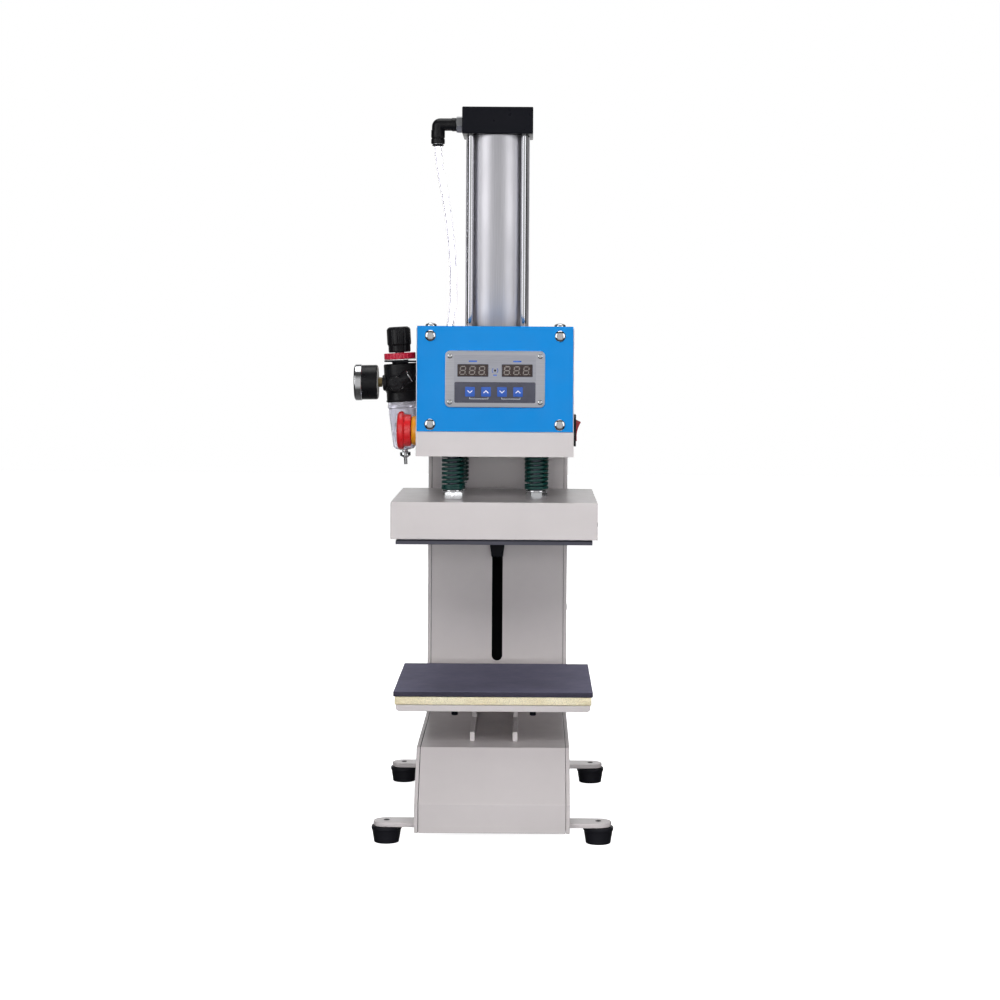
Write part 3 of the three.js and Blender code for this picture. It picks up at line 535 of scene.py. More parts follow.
# ---------------------------------------------------------------- CAD nodes that stay
def dressed(node, material, bevel=0.6, segments=3):
    """A CAD node keeps its shape: its flat faces are made whole, its edges broken and its material laid on."""
    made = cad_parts[node]
    made.data.materials.clear()
    made.data.materials.append(material)
    made.data.shade_smooth()
    weld = made.modifiers.new("weld", "WELD")
    weld.merge_threshold = 2e-6
    flat = made.modifiers.new("flat", "DECIMATE")
    flat.decimate_type = "DISSOLVE"
    flat.angle_limit = math.radians(1.5)
    if bevel:
        edge = made.modifiers.new("edge", "BEVEL")
        edge.width = bevel * MM
        edge.segments = segments
        edge.limit_method = "ANGLE"
        edge.angle_limit = math.radians(40)
        edge.use_clamp_overlap = True
    normals = made.modifiers.new("normals", "WEIGHTED_NORMAL")
    normals.keep_sharp = False
    return made


# ---------------------------------------------------------------- fasteners
SCREW_SPIN = 20
_screw_meshes = {}


def screw_mesh(radius, height, recess, material):
    """A domed screw head, made once for each size: base at the origin, +Z outwards, a cross or hexagon recess."""
    key = (radius, height, recess, material.name)
    if key in _screw_meshes:
        return _screw_meshes[key]
    steps = 9
    dome = [(radius, 0), (radius, 0.22 * height)]
    for k in range(1, steps):
        angle = math.pi / 2 * k / steps
        dome.append((radius * math.cos(angle) ** 0.85, height * (0.22 + 0.78 * math.sin(angle))))
    profile = [(0, 0), *dome, (0, height)]
    head = turned("screw_master", profile, Vector((0, 0, 0)), material, "machine", soft=0, segments=40)
    cutters = []
    if recess == "cross":
        for spin in (0, 90):
            arm = [(-0.56 * radius, -0.12 * radius), (0.56 * radius, -0.12 * radius)]
            outline = arm + [(-u, -v) for u, v in arm]
            turn = Matrix.Rotation(math.radians(spin), 4, "Z")
            place = turn @ Matrix.Translation((0, 0, 0.45 * height * MM))
            cutters.append(prism(f"cut_{spin}", outline, height, place, material, "machine", 0))
    if recess == "hexagon":
        outline = round_outline(0.5 * radius, 6)
        place = Matrix.Translation((0, 0, 0.4 * height * MM))
        cutters.append(prism("cut_hex", outline, height, place, material, "machine", 0))
    if cutters:
        carve(head, cutters)
    mesh = head.data
    bpy.data.objects.remove(head)
    _screw_meshes[key] = mesh
    return mesh


def screw(name, place, direction, radius, height, body="machine", recess="cross", material=CHROME):
    made = bpy.data.objects.new(name, screw_mesh(radius, height, recess, material))
    bpy.context.scene.collection.objects.link(made)
    made.matrix_world = Matrix.Translation(place) @ turn_to(direction, SCREW_SPIN).to_4x4()
    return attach(made, body)


def washer(name, place, direction, inner, outer, thick, body="machine", material=CHROME):
    profile = [(inner, 0), (outer, 0), (outer, thick), (inner, thick)]
    return turned(name, profile, place, material, body, direction, 0.15, 40)


# ---------------------------------------------------------------- stand
SIDES = {"left": -1, "right": 1}
ROWS = {"front": -1, "rear": 1}
STAND_HALF = local_box("side_plate_right")[1].x
COLUMN_FRONT = local_box("column_front_plate")[0].y
BAR_TOP = local_box("foot_bar_front")[1].z


def four_corners(half_x, half_y):
    """The places of four like pieces round the cylinder's axis, by name."""
    return {f"{row}_{side}": (x * half_x, y * half_y) for row, y in ROWS.items() for side, x in SIDES.items()}


def dark_inside(node, inward):
    """The faces of a plate that look into the closed column get a dark material: painted shade for the inside of the
    column.
    """
    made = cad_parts[node]
    made.data.materials.append(DULL_BLACK)
    turn = made.matrix_world.to_3x3()
    for polygon in made.data.polygons:
        if (turn @ polygon.normal).dot(inward) > 0.99:
            polygon.material_index = 1


def make_stand():
    for node in ("side_plate_left", "side_plate_right", "base_cover", "column_front_plate", "column_back_cover"):
        dressed(node, GREY, 0.5)
    # Painted shade: the inner faces get a dark material that stands for the shade inside the closed column.
    dark_inside("side_plate_left", RIGHT)
    dark_inside("side_plate_right", LEFT)
    dark_inside("column_front_plate", BACK)
    dark_inside("column_back_cover", FRONT)
    for row in ROWS:
        dressed(f"foot_bar_{row}", GREY, 0.9)
        bar = local_box(f"foot_bar_{row}")
        y = (bar[0].y + bar[1].y) / 2
        for side in SIDES:
            node = f"rubber_foot_{row}_{side}"
            low, high = local_box(node)
            x = (low.x + high.x) / 2
            make_foot(node, x, y, high.z)
            screw(f"foot_screw_{row}_{side}", at(x, y, BAR_TOP + 0.02), UP, 3.1, 0.7, material=BLACK_PLASTIC)


def make_foot(node, x, y, top):
    rise = top - FLOOR
    profile = [(0, 3.5), (5.5, 3.5), (5.5, 0), (12.9, 0), (13.2, 2.6), (14.9, 12.8)]
    profile += [(15.6, 13.6), (15.6, rise), (0, rise)]
    foot = turned(f"{node}_moulded", profile, at(x, y, FLOOR), FOOT_RUBBER, "machine", soft=0.9, segments=72)
    stands_for(foot, node)


def make_stand_screws():
    for side, sign in SIDES.items():
        outward = Vector((sign, 0, 0))
        column = [(y, z) for y in (COLUMN_FRONT + 12, 266) for z in (215, 345)]
        places = [*column, (266, 60), (-60, 60)]
        for k, (y, z) in enumerate(places):
            screw(f"side_screw_{side}_{k}", at(sign * STAND_HALF, y, z), outward, 3.6, 0.6)
    back = local_box("column_back_cover")[1].y
    for k, (z, x) in enumerate((z, x) for z in (34, 380) for x in (-66, 66)):
        screw(f"back_screw_{k}", at(x, back, z), BACK, 3.2, 1.8)


def make_power_inlet():
    """A three-pin appliance inlet with its flange, three flat pins and two screws."""
    dressed("power_inlet", BLACK_PLASTIC, 0.5)
    low, high = local_box("power_inlet")
    x, z = (low.x + high.x) / 2, (low.z + high.z) / 2
    for k, (dx, dz) in enumerate([(-6, 1.5), (6, 1.5), (0, -2.5)]):
        place = at(x + dx, low.y + 3, z + dz)
        outline = rounded_outline(1.0, 2.0, 0.4, 3)
        pin = prism(f"inlet_pin_{k}", outline, 10, facing(BACK, place, RIGHT), BRASS, "machine", 0.2)
    for side, sign in SIDES.items():
        screw(f"inlet_screw_{side}", at(x + sign * 20, high.y - 0.5, z), BACK, 2.6, 0.5, material=STEEL)


make_stand()
make_stand_screws()
make_power_inlet()


# ---------------------------------------------------------------- lower platen
def wavy_slab(name, low, high, material, cells, waver, seed, bevel):
    """A cut sheet whose sides are a little uneven. Its top and bottom stay flat."""
    rng = random.Random(seed)
    phases = [(rng.uniform(20, 90), rng.uniform(0, 6.28)) for _ in range(5)]
    bm = bmesh.new()
    add_box(bm, low, high)
    bevel_edges(bm, bevel, 2)
    long_edges = [e for e in bm.edges if e.calc_length() > 0.05]
    bmesh.ops.subdivide_edges(bm, edges=long_edges, cuts=cells, use_grid_fill=True)
    centre = (low + high) / 2
    for v in bm.verts:
        for axis, other in ((0, 1), (1, 0)):
            reach = abs(v.co[axis] - centre[axis]) / ((high[axis] - low[axis]) / 2)
            if reach < 0.97:
                continue
            wave = sum(math.sin(f * v.co[other] + p + 31 * v.co.z) for f, p in phases) / len(phases)
            inward = -math.copysign(1, v.co[axis] - centre[axis])
            v.co[axis] += inward * waver * MM * (0.5 + 0.5 * wave)
    return piece(name, bm, material, "machine", 50)


def make_platen():
    dressed("platen_bracket", GREY, 0.5)
    dressed("lower_tray", GREY, 0.6)
    for node, name, material, slot, waver, seed in (
        ("foam_pad", "foam_sheet", FOAM, "foam", 0.7, 3),
        ("rubber_pad", "rubber_sheet", PAD_RUBBER, "pad_rubber", 0.25, 5),
    ):
        low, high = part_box(node)
        sheet = wavy_slab(name, low, high, material, 40, waver, seed, 0.7)
        if node == "rubber_pad":
            # Painted shade: faces that don't look up get the darker copy of the rubber.
            sheet.data.materials.append(PAD_SIDE_SHADE)
            for polygon in sheet.data.polygons:
                polygon.material_index = 0 if polygon.normal.z > 0.5 else 1
        stands_for(sheet, node)
    tray = local_box("lower_tray")
    for side, sign in SIDES.items():
        place = at(sign * 41, -50, tray[0].z)
        down = -UP
        washer(f"tray_washer_{side}", place + down * 0.05 * MM, down, 4.2, 8.5, 1.2, material=STEEL)
        hex_nut(f"tray_nut_{side}", 13, 5.5, place + down * 1.25 * MM, BLACK_PAINT, "machine", down, 3.5, 12)
        stud = [(0, 0), (3.4, 0), (3.4, 11.2), (2.8, 11.8), (0, 11.8)]
        turned(f"tray_stud_{side}", stud, place, BLACK_PAINT, "machine", down, 0.2, 32)


make_platen()


# ---------------------------------------------------------------- heated head
HEAD_LOW, HEAD_HIGH = local_box("head_cover")
POSTS = four_corners(43.3, 66)
NUT_SPIN = {"front_left": 0, "front_right": 30, "rear_left": 12, "rear_right": 21}
NUT_TOP = 362.3
WASHER_TOP = NUT_TOP + 1.5
PLATE_TOP = local_box("press_plate")[1].z


def make_head():
    dressed("head_cover", GREY, 0.8, 4)
    dressed("heating_block", HOT_PLATE, 0.35)
    dressed("insulation_board", BOARD, 0.4)
    for side, sign in SIDES.items():
        for k, y in enumerate((-60, 60)):
            place = at(sign * HEAD_HIGH.x, y, HEAD_LOW.z + 12)
            screw(f"head_screw_{side}_{k}", place, Vector((sign, 0, 0)), 3.4, 1.9, "head")
    for place, (x, y) in POSTS.items():
        make_post(place, x, y)


def make_post(place, x, y):
    """A stud with its lower nut and washer on the head and its top nut over the press plate."""
    node = f"spring_post_{place}"
    low, high = local_box(node)
    stud = [(0, low.z), (6, low.z), (6, high.z), (0, high.z)]
    rod = turned(f"{node}_stud", stud, at(x, y, 0), HOT_PLATE, "head", soft=0.8, segments=40)
    stands_for(rod, node)
    seat = HEAD_HIGH.z + 0.05
    hex_nut(f"{node}_nut", 19.5, NUT_TOP - seat, at(x, y, seat), CHROME, "head", bore=6.05, spin=NUT_SPIN[place])
    washer(f"{node}_washer", at(x, y, NUT_TOP + 0.03), UP, 6.1, 11.2, WASHER_TOP - NUT_TOP - 0.03, "head")
    top = PLATE_TOP + 0.3
    hex_nut(f"{node}_top_nut", 19, 8.5, at(x, y, top), CHROME, "head", bore=6.05, spin=NUT_SPIN[place])


# ---------------------------------------------------------------- die springs
def die_spring(place, x, y):
    """A rectangular-wire spring with closed ends ground flat."""
    node = f"die_spring_{place}"
    low, high = local_box(node)
    bottom, top = low.z, high.z
    outer, radial, axial = 12.5, 4.6, 2.9
    turns, closed, closed_pitch = 11.8, 0.9, 0.32  # closed_pitch is a share of the open coils' pitch
    pitch = (top - bottom - axial * 1.55) / (turns - 2 * closed + 2 * closed * closed_pitch)
    start = random.Random(x + 2 * y).uniform(0, 360)
    steps = int(turns * 40)
    section = rounded_outline(radial / 2, axial / 2, 0.6, 3)
    bm = bmesh.new()
    rings = []
    rise = 0.0
    for k in range(steps + 1):
        turn = turns * k / steps
        angle = math.radians(start) + 2 * math.pi * turn
        out = Vector((math.cos(angle), math.sin(angle), 0))
        ring = []
        for u, v in section:
            z = bottom + axial / 2 + rise + v
            z = min(max(z, bottom + 0.02), top - 0.02)
            flat = out * (outer - radial / 2 + u)
            ring.append(bm.verts.new(at(x + flat.x, y + flat.y, z)))
        rings.append(ring)
        from_end = min(turn, turns - turn)
        opened = min(1.0, max(0.0, (from_end - closed * 0.6) / (closed * 0.6)))
        share = closed_pitch + (1 - closed_pitch) * opened
        rise += pitch * share * turns / steps
    scale = (top - bottom - axial) / rise
    for ring in rings:
        for v, (_, dv) in zip(ring, section):
            raw = (v.co.z / MM + FLOOR - bottom - axial / 2 - dv) * scale
            v.co.z = (min(max(bottom + axial / 2 + raw + dv, bottom + 0.02), top - 0.02) - FLOOR) * MM
    for first, second in zip(rings, rings[1:]):
        add_band(bm, first, second)
    bm.faces.new(rings[0])
    bm.faces.new(reversed(rings[-1]))
    coil = piece(f"{node}_coil", bm, SPRING_GREEN, "ram", 45, doubles=1e-7)
    stands_for(coil, node)
    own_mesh(coil)


def make_ram():
    dressed("press_plate", STEEL, 0.8)
    low, high = local_box("piston_rod")
    shoulder = PLATE_TOP + 0.3
    piston_low, piston_high = 700, 725
    rod = [(0, low.z), (7, low.z), (7, shoulder), (10, shoulder), (10, piston_low), (0, piston_low)]
    shaft = turned("piston_rod_shaft", rod, at(0, 0, 0), CHROME, "ram", soft=0.5, segments=64)
    stands_for(shaft, "piston_rod")
    groove = [(31.2, 2), (31.2, 7), (29.5, 7.4), (29.5, 10.6), (31.2, 11), (31.2, 14), (29.5, 14.4), (29.5, 17.6)]
    disc = [(0, 0), (30.4, 0), *groove, (31.2, 18), (31.2, 23), (30.4, 25), (0, 25)]
    piston = turned("piston_disc", disc, at(0, 0, piston_low + 0.05), MILLED, "ram", soft=0.3, segments=72)
    hex_nut("piston_nut", 17, high.z - piston_high - 0.1, at(0, 0, piston_high + 0.08), STEEL, "ram")
    hex_nut("ram_nut", 19, 3.0, at(0, 0, low.z + 0.1), STEEL, "ram", bore=7.02)
    for place, (x, y) in POSTS.items():
        die_spring(place, x, y)


make_head()
make_ram()


# ---------------------------------------------------------------- guide arm
def make_guide():
    """The black arm on the head's back: a flange, the bar that runs in the slot, a slider and a drooping boot."""
    dressed("guide_arm", BLACK_PAINT, 0.7)
    back = HEAD_HIGH.y + 3.3
    for side, sign in SIDES.items():
        screw(f"guide_screw_{side}", at(sign * 10.4, back, 345), BACK, 2.6, 1.6, "head")


make_guide()


# ---------------------------------------------------------------- upper housing
HOUSING_HIGH = local_box("housing_shell")[1]
COVER_LOW, COVER_HIGH = local_box("front_cover")
COVER_FACE = COVER_LOW.y


def make_housing():
    dressed("housing_shell", GREY, 0.6)
    dressed("front_cover", BLUE, 0.7, 4)
    dressed("cylinder_mount_plate", STEEL, 0.8)
    for column, x in (("left", -66.5), ("right", 66.5)):
        for row, z in (("low", 433.1), ("high", 523.8)):
            screw(f"cover_screw_{row}_{column}", at(x, COVER_FACE, z), FRONT, 6.0, 3.4)
        screw(f"top_screw_{column}", at(x, -84, COVER_HIGH.z), UP, 6.0, 3.4)
    for side, sign in SIDES.items():
        outward = Vector((sign, 0, 0))
        for k, (z, y) in enumerate((z, y) for z in (412, 520) for y in (170, 262)):
            screw(f"housing_screw_{side}_{k}", at(sign * HOUSING_HIGH.x, y, z), outward, 3.6, 0.6)


make_housing()


# ---------------------------------------------------------------- air cylinder
CAP_LOW, CAP_HIGH = local_box("cylinder_top_cap")
TIE_RODS = four_corners(28.25, 28.25)


def make_cap():
    """The top cap: a machined block with a counterbore over each tie rod and a socket screw in each counterbore."""
    cap = box_piece("cylinder_cap_block", *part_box("cylinder_top_cap"), BLACK_PAINT, "machine", 1.1, 4)
    cutters = []
    for place, (x, y) in TIE_RODS.items():
        bore = [(0, -6), (5.4, -6), (5.4, 3), (0, 3)]
        cutters.append(turned(f"cut_{place}", bore, at(x, y, CAP_HIGH.z), STEEL, "machine", soft=0, segments=40))
    carve(cap, cutters)
    stands_for(cap, "cylinder_top_cap")
    for place, (x, y) in TIE_RODS.items():
        screw(f"cap_screw_{place}", at(x, y, CAP_HIGH.z - 5.9), UP, 4.9, 4.6, recess="hexagon", material=STEEL)


def make_cylinder():
    make_cap()
    dressed("cylinder_bottom_cap", BLACK_PAINT, 1.0)
    low, high = local_box("cylinder_tube")
    wall = [(31.5, low.z), (34, low.z), (34, high.z), (31.5, high.z)]
    tube = turned("cylinder_barrel", wall, at(0, 0, 0), TUBE_ALUMINIUM, "machine", soft=0.3, segments=128)
    stands_for(tube, "cylinder_tube")
    for place, (x, y) in TIE_RODS.items():
        node = f"tie_rod_{place}"
        foot = local_box(node)[0].z
        bar = [(0, foot), (3.4, foot), (3.4, CAP_LOW.z + 1), (0, CAP_LOW.z + 1)]
        rod = turned(f"{node}_bar", bar, at(x, y, 0), ROD_STEEL, "machine", soft=0.5, segments=40)
        stands_for(rod, node)


make_cylinder()


# ---------------------------------------------------------------- elbow and air tube
def quarter_route(start, corner, end, radius, steps=10):
    """A straight, a round bend at corner and a straight."""
    into, out = (corner - start).normalized(), (end - corner).normalized()
    return [start, *bend(corner - into * radius, corner, corner + out * radius, steps), end]


def circle_section(radius, segments):
    return [(u * MM, v * MM) for u, v in round_outline(radius, segments)]


TUBE_TOP_X = -64.3
PORT_Z = 750


def make_cap_elbow():
    """A push-in elbow: plated hexagon, swivel body that bends downwards, and a release collar."""
    face = -CAP_HIGH.x - 0.3
    hexagon = hex_nut("cap_elbow_hexagon", 16, 6.9, at(face, 0, PORT_Z), STEEL, "machine", LEFT, 0, 15)
    route = quarter_route(at(face - 7, 0, PORT_Z), at(TUBE_TOP_X, 0, PORT_Z), at(TUBE_TOP_X, 0, PORT_Z - 10), 2.6 * MM)
    body = sweep("cap_elbow_body", route, circle_section(6.7, 40), BLACK_PLASTIC, "machine")
    stands_for(body, "cap_elbow")
    knuckle = [(0, 0), (7.2, 0), (7.2, 4), (6.7, 5), (0, 5)]
    turned("cap_elbow_knuckle", knuckle, at(face - 7.1, 0, PORT_Z), BLACK_PLASTIC, "machine", LEFT, 0.6)
    barrel = [(4.2, 0), (7.4, 0), (7.4, 8), (6.8, 8.4), (6.8, 9.4), (7.4, 9.8), (7.4, 14.2), (6.9, 14.7), (4.2, 14.7)]
    turned("cap_elbow_barrel", barrel, at(TUBE_TOP_X, 0, PORT_Z - 6), BLACK_PLASTIC, "machine", -UP, 0.4)
    glint = [(4.3, 0), (6.6, 0), (6.6, 0.5), (4.3, 0.5)]
    rim = turned("cap_elbow_rim", glint, at(TUBE_TOP_X, 0, PORT_Z - 20.72), STEEL, "machine", -UP, 0.1)
    collar = [(4.15, 0), (5.2, 0), (5.2, 0.5), (6.1, 0.6), (6.1, 1.4), (5.8, 1.7), (4.15, 1.7)]
    turned("cap_elbow_collar", collar, at(TUBE_TOP_X, 0, PORT_Z - 21.25), DULL_BLACK, "machine", -UP, 0.25)


def make_air_tube():
    """Eight-millimetre clear tube with its real wall, from the elbow into the housing. Points in millimetres."""
    points = [(TUBE_TOP_X, 0, 731), (-64, 0, 722), (-62.2, 0, 706), (-58.6, 0, 686), (-54.8, 0, 666), (-51.4, 0, 642)]
    points += [(-48.6, 0, 616), (-47.1, 0, 590), (-46.9, 0, 563), (-48.7, 0, 544), (-50.6, 0, 530), (-51, 0, 516)]
    route = smooth_route([at(*p) for p in points])
    bm = bmesh.new()
    rings = []
    for i, point in enumerate(route):
        along = (route[min(i + 1, len(route) - 1)] - route[max(i - 1, 0)]).normalized()
        side = along.cross(BACK).normalized()
        pair = []
        for radius in (4.0, 2.75):
            section = circle_section(radius, 32)
            pair.append([bm.verts.new(point + side * u + BACK * v) for u, v in section])
        rings.append(pair)
    for (outer, inner), (next_outer, next_inner) in zip(rings, rings[1:]):
        add_band(bm, outer, next_outer)
        add_band(bm, inner, next_inner)
    for outer, inner in (rings[0], rings[-1]):
        add_band(bm, outer, inner)
    tube = piece("air_tube_wall", bm, TUBE_PLASTIC, "machine", 50)
    stands_for(tube, "air_tube")
    end_x = points[-1][0]
    bush = [(4.3, 0), (6.6, 0), (6.6, 1.2), (4.9, 1.8), (4.3, 1.8)]
    turned("air_tube_bush", bush, at(end_x + 0.4, 0, HOUSING_HIGH.z + 0.02), DULL_BLACK, "machine", UP, 0.3)


make_cap_elbow()
make_air_tube()


# ---------------------------------------------------------------- control panel
PANEL_LOW, PANEL_HIGH = local_box("control_panel")
PANEL_FACE = PANEL_LOW.y
PANEL_Z = (PANEL_LOW.z + PANEL_HIGH.z) / 2
KEY_X = {"time_down": -25.6, "time_up": -9.2, "heat_down": 7.2, "heat_up": 23.6}
KEY_Z = PANEL_Z - 13

PANEL_SILVER = metal("panel_silver", (0.82, 0.83, 0.9, 1), 0.4, (0.02, 1, 1), 0.000004)
LABEL_GREY = metal("label_grey", (0.74, 0.75, 0.83, 1), 0.4, (0.05, 1, 1), 0.000003)
WINDOW_BROWN = moulded("display_window", srgb(52, 40, 38), 0.12, 0.000002, 0.5)
LABEL_DARK = moulded("label_dark", srgb(62, 63, 78), 0.4)
SEGMENT_GREY = moulded("display_segment", srgb(136, 128, 124), 0.5)
LABEL_BLUE = moulded("label_blue", srgb(28, 92, 190), 0.45)
KEY_BLUE = moulded("key_face", srgb(24, 82, 178), 0.42)
LABEL_WHITE = moulded("label_white", srgb(232, 236, 242), 0.45)


def on_panel(x, z, proud):
    """Where something flat lies on the panel's face, its z towards the operator."""
    return facing(FRONT, at(x, PANEL_FACE - proud, z), RIGHT)


def flat(name, outline, x, z, proud, thick, material, slot="panel_silver", bevel=0.0, body="machine"):
    made = prism(name, outline, thick, on_panel(x, z, proud), material, body, bevel)
    return made


SEGMENTS = {
    "a": (0, 1, True),
    "b": (0.5, 0.5, False),
    "c": (0.5, -0.5, False),
    "d": (0, -1, True),
    "e": (-0.5, -0.5, False),
    "f": (-0.5, 0.5, False),
    "g": (0, 0, True),
}
DIGIT_HALF = Vector((2.6, 4.0))
SLANT = math.tan(math.radians(7))


def add_digit(bm, x, z):
    """One unlit seven-segment digit: every segment is there, in its resting grey."""
    for u, v, level in SEGMENTS.values():
        cu, cv = 2 * DIGIT_HALF.x * u, DIGIT_HALF.y * v
        half = (DIGIT_HALF.x if level else DIGIT_HALF.y / 2) - 0.35
        wide = 0.55
        reach = half - wide
        bar = [(-half, 0), (-reach, -wide), (reach, -wide), (half, 0), (reach, wide), (-reach, wide)]
        outline = []
        for along, across in bar:
            pu, pv = (cu + along, cv + across) if level else (cu + across, cv + along)
            outline.append((pu + SLANT * pv, pv))
        add_prism(bm, outline, 0.1, on_panel(x, z, 0.55))
    point = [(u + DIGIT_HALF.x + 1.1, v - DIGIT_HALF.y) for u, v in round_outline(0.45, 12)]
    add_prism(bm, point, 0.1, on_panel(x, z, 0.55))


def make_display(name, x):
    z = PANEL_Z + 8.8
    flat(f"{name}_rim", rounded_outline(15.9, 6.5, 0.8), x, z, 0.15, 0.25, LABEL_DARK)
    flat(f"{name}_window", rounded_outline(15.3, 6.0, 0.5), x, z, 0.4, 0.15, WINDOW_BROWN, bevel=0.05)
    bm = bmesh.new()
    for k in (-1, 0, 1):
        add_digit(bm, x + 9.8 * k - 0.6, z)
    digits = piece(f"{name}_digits", bm, SEGMENT_GREY, "machine", doubles=1e-8)


def arc_outline(inner, outer, middle_angle, spread, steps=12):
    """A curved stripe round a centre, as wide as spread degrees."""
    angles = [middle_angle - spread / 2 + spread * k / steps for k in range(steps + 1)]
    return [polar(outer, a) for a in angles] + [polar(inner, a) for a in reversed(angles)]


def make_panel():
    plate = prism(
        "panel_plate",
        rounded_outline((PANEL_HIGH.x - PANEL_LOW.x) / 2, (PANEL_HIGH.z - PANEL_LOW.z) / 2, 5, 10),
        2.5,
        facing(FRONT, at(0, PANEL_FACE + 2.5, PANEL_Z), RIGHT),
        PANEL_SILVER,
        "machine",
        0.5,
        3,
    )
    stands_for(plate, "control_panel")
    rear_low = at(-42, PANEL_FACE + 2.55, PANEL_Z - 24.5)
    rear = box_piece("panel_rear", rear_low, at(42, PANEL_HIGH.y, PANEL_Z + 24.5), DULL_BLACK, "machine", 0.6)
    flat("panel_label", rounded_outline(42, 24.5, 2.0), 0, PANEL_Z, 0.01, 0.05, LABEL_GREY)
    flat("panel_keypad", rounded_outline(41.5, 10.65, 1.4), 0, PANEL_Z - 13.7, 0.06, 0.04, LABEL_DARK)
    make_display("time_display", -22.7)
    make_display("heat_display", 22.7)
    for side, sign in SIDES.items():
        for row, dz in (("low", -23.6), ("high", 23.6)):
            place = at(sign * 46.3, PANEL_FACE - 0.03, PANEL_Z + dz)
            screw(f"panel_screw_{row}_{side}", place, FRONT, 2.75, 1.5)
    flat("panel_sensor", round_outline(1.1, 24), 0, PANEL_Z + 8.8, 0.08, 0.06, DULL_BLACK)
    for side, middle_angle in (("left", 180), ("right", 0)):
        flat(f"panel_wave_{side}", arc_outline(2.6, 3.2, middle_angle, 100), 0, PANEL_Z + 8.8, 0.08, 0.05, LABEL_BLUE)
    flat("panel_mark_middle", rounded_outline(1.9, 0.55, 0.3, 3), 0, PANEL_Z + 4.0, 0.08, 0.05, LABEL_BLUE)
    for side, sign in SIDES.items():
        x = sign * 16.4
        flat(f"key_rule_{side}", rounded_outline(9.5, 0.16, 0.05, 2), x, KEY_Z - 7.3, 0.11, 0.04, LABEL_WHITE)
        for end in (-9.4, 9.4):
            tick = rounded_outline(0.16, 0.9, 0.05, 2)
            flat(f"key_tick_{side}_{end}", tick, x + end, KEY_Z - 6.5, 0.11, 0.04, LABEL_WHITE)
    for side, sign in SIDES.items():
        mark = rounded_outline(4.2, 0.75, 0.3, 3)
        flat(f"panel_mark_{side}", mark, sign * 22.7, PANEL_Z + 18.2, 0.08, 0.05, LABEL_BLUE)


def chevron(sign):
    """An arrowhead outline, pointing up for sign 1 and down for sign -1."""
    outline = [(0, 1.6), (2.8, -1), (2.1, -1.5), (0, 0.5), (-2.1, -1.5), (-2.8, -1)]
    return [(u, sign * v) for u, v in outline]


def make_keys():
    for name, x in KEY_X.items():
        node = f"key_{name}"
        low, high = local_box(node)
        cap = prism(
            f"{node}_cap",
            rounded_outline(4.95, 4.95, 0.9, 5),
            high.y - low.y - 0.06,
            facing(FRONT, at(x, high.y, KEY_Z), RIGHT),
            KEY_BLUE,
            node,
            0.3,
            3,
        )
        stands_for(cap, node)
        sign = 1 if name.endswith("up") else -1
        place = facing(FRONT, at(x, low.y + 0.07, KEY_Z), RIGHT)
        arrow = prism(f"{node}_arrow", chevron(sign), 0.06, place, LABEL_WHITE, node, 0)


make_panel()
make_keys()


# ---------------------------------------------------------------- power switch
SWITCH_AT = (81, -65, 426.5)
ROCKER_TILT = 12


def rocker_height(u):
    """How far the rocker's dished face stands out at u millimetres from its middle."""
    return 4.3 + 1.8 * (u / 10) ** 2


def make_switch():
    """A black bezel round a red rocker that is pressed in at its lower end."""
    dressed("switch_base", BLACK_PLASTIC, 0.5)
    tilt = Matrix.Rotation(math.radians(ROCKER_TILT), 3, "Y")
    along, outward = tilt @ UP, tilt @ RIGHT
    face = []
    for k in range(11):
        u = 10 - 2 * k
        face.append((u, rocker_height(u)))
    outline = [(-11.8, -1), (-5, -5), (5, -5), (11.8, -1), *face]
    half = 6.5
    start = at(*SWITCH_AT) + FRONT * half * MM
    rocker = prism("power_rocker_cap", outline, 2 * half, facing(BACK, start, along), DARK_RED, "power_rocker", 0.45)
    stands_for(rocker, "power_rocker")
    for name, u in (("on", 7.4), ("off", -7.4)):
        slope = math.atan(3.6 * u / 100)
        lean = Matrix.Rotation(math.radians(ROCKER_TILT) - slope, 3, "Y")
        place = facing(lean @ RIGHT, at(*SWITCH_AT) + (along * u + outward * (rocker_height(u) + 0.02)) * MM, BACK)
        if name == "on":
            bar = rounded_outline(0.3, 1.9, 0.1, 2)
            mark = prism("rocker_mark_on", bar, 0.06, place, LABEL_WHITE, "power_rocker", 0)
        else:
            ring = [(1.25, 0), (1.8, 0), (1.8, 0.06), (1.25, 0.06)]
            normal = lean @ RIGHT
            mark = turned("rocker_mark_off", ring, place.translation, LABEL_WHITE, "power_rocker", normal, 0, 32)


# ---------------------------------------------------------------- emergency stop
ESTOP_AT = (-81, -65, 425)


def make_estop():
    """A yellow collar with its threaded barrel, a dark plunger and a red mushroom with turn arrows."""
    centre = at(*ESTOP_AT)
    turn = lathe(centre, LEFT)
    inside = local_box("estop_collar")[1].x - ESTOP_AT[0]
    collar = [(6.3, -inside), (10.7, -inside), (10.7, 0.35), (15, 0.35), (15, 4.4), (13.9, 5.9), (6.3, 5.9)]
    turn("estop_collar_ring", collar, YELLOW_PLASTIC, "signal_yellow", 0.5, 96, node="estop_collar")
    plunger = [(0, -9.8), (5.85, -9.8), (5.85, 17.4), (0, 17.4)]
    turn("estop_plunger_stem", plunger, DULL_BLACK, "black_plastic", 0.4, 48, "estop_plunger", "estop_plunger")
    dome = [(0, 17.8), (6.3, 17.8), (6.3, 13.2), (15.2, 13.2), (15.2, 6.5), (16.7, 6.5), (16.9, 13.4), (18.9, 13.9)]
    dome += [(19.95, 15.4), (19.95, 18.2), (18.9, 20.2), (15.5, 21.1), (8, 21.35), (0, 21.4)]
    turn("estop_head", dome, RED_PLASTIC, "signal_red", 1.1, 96, "estop_mushroom", "estop_mushroom")
    for k in range(3):
        arrow = turn_arrow(f"estop_arrow_{k}", centre, 120 * k)


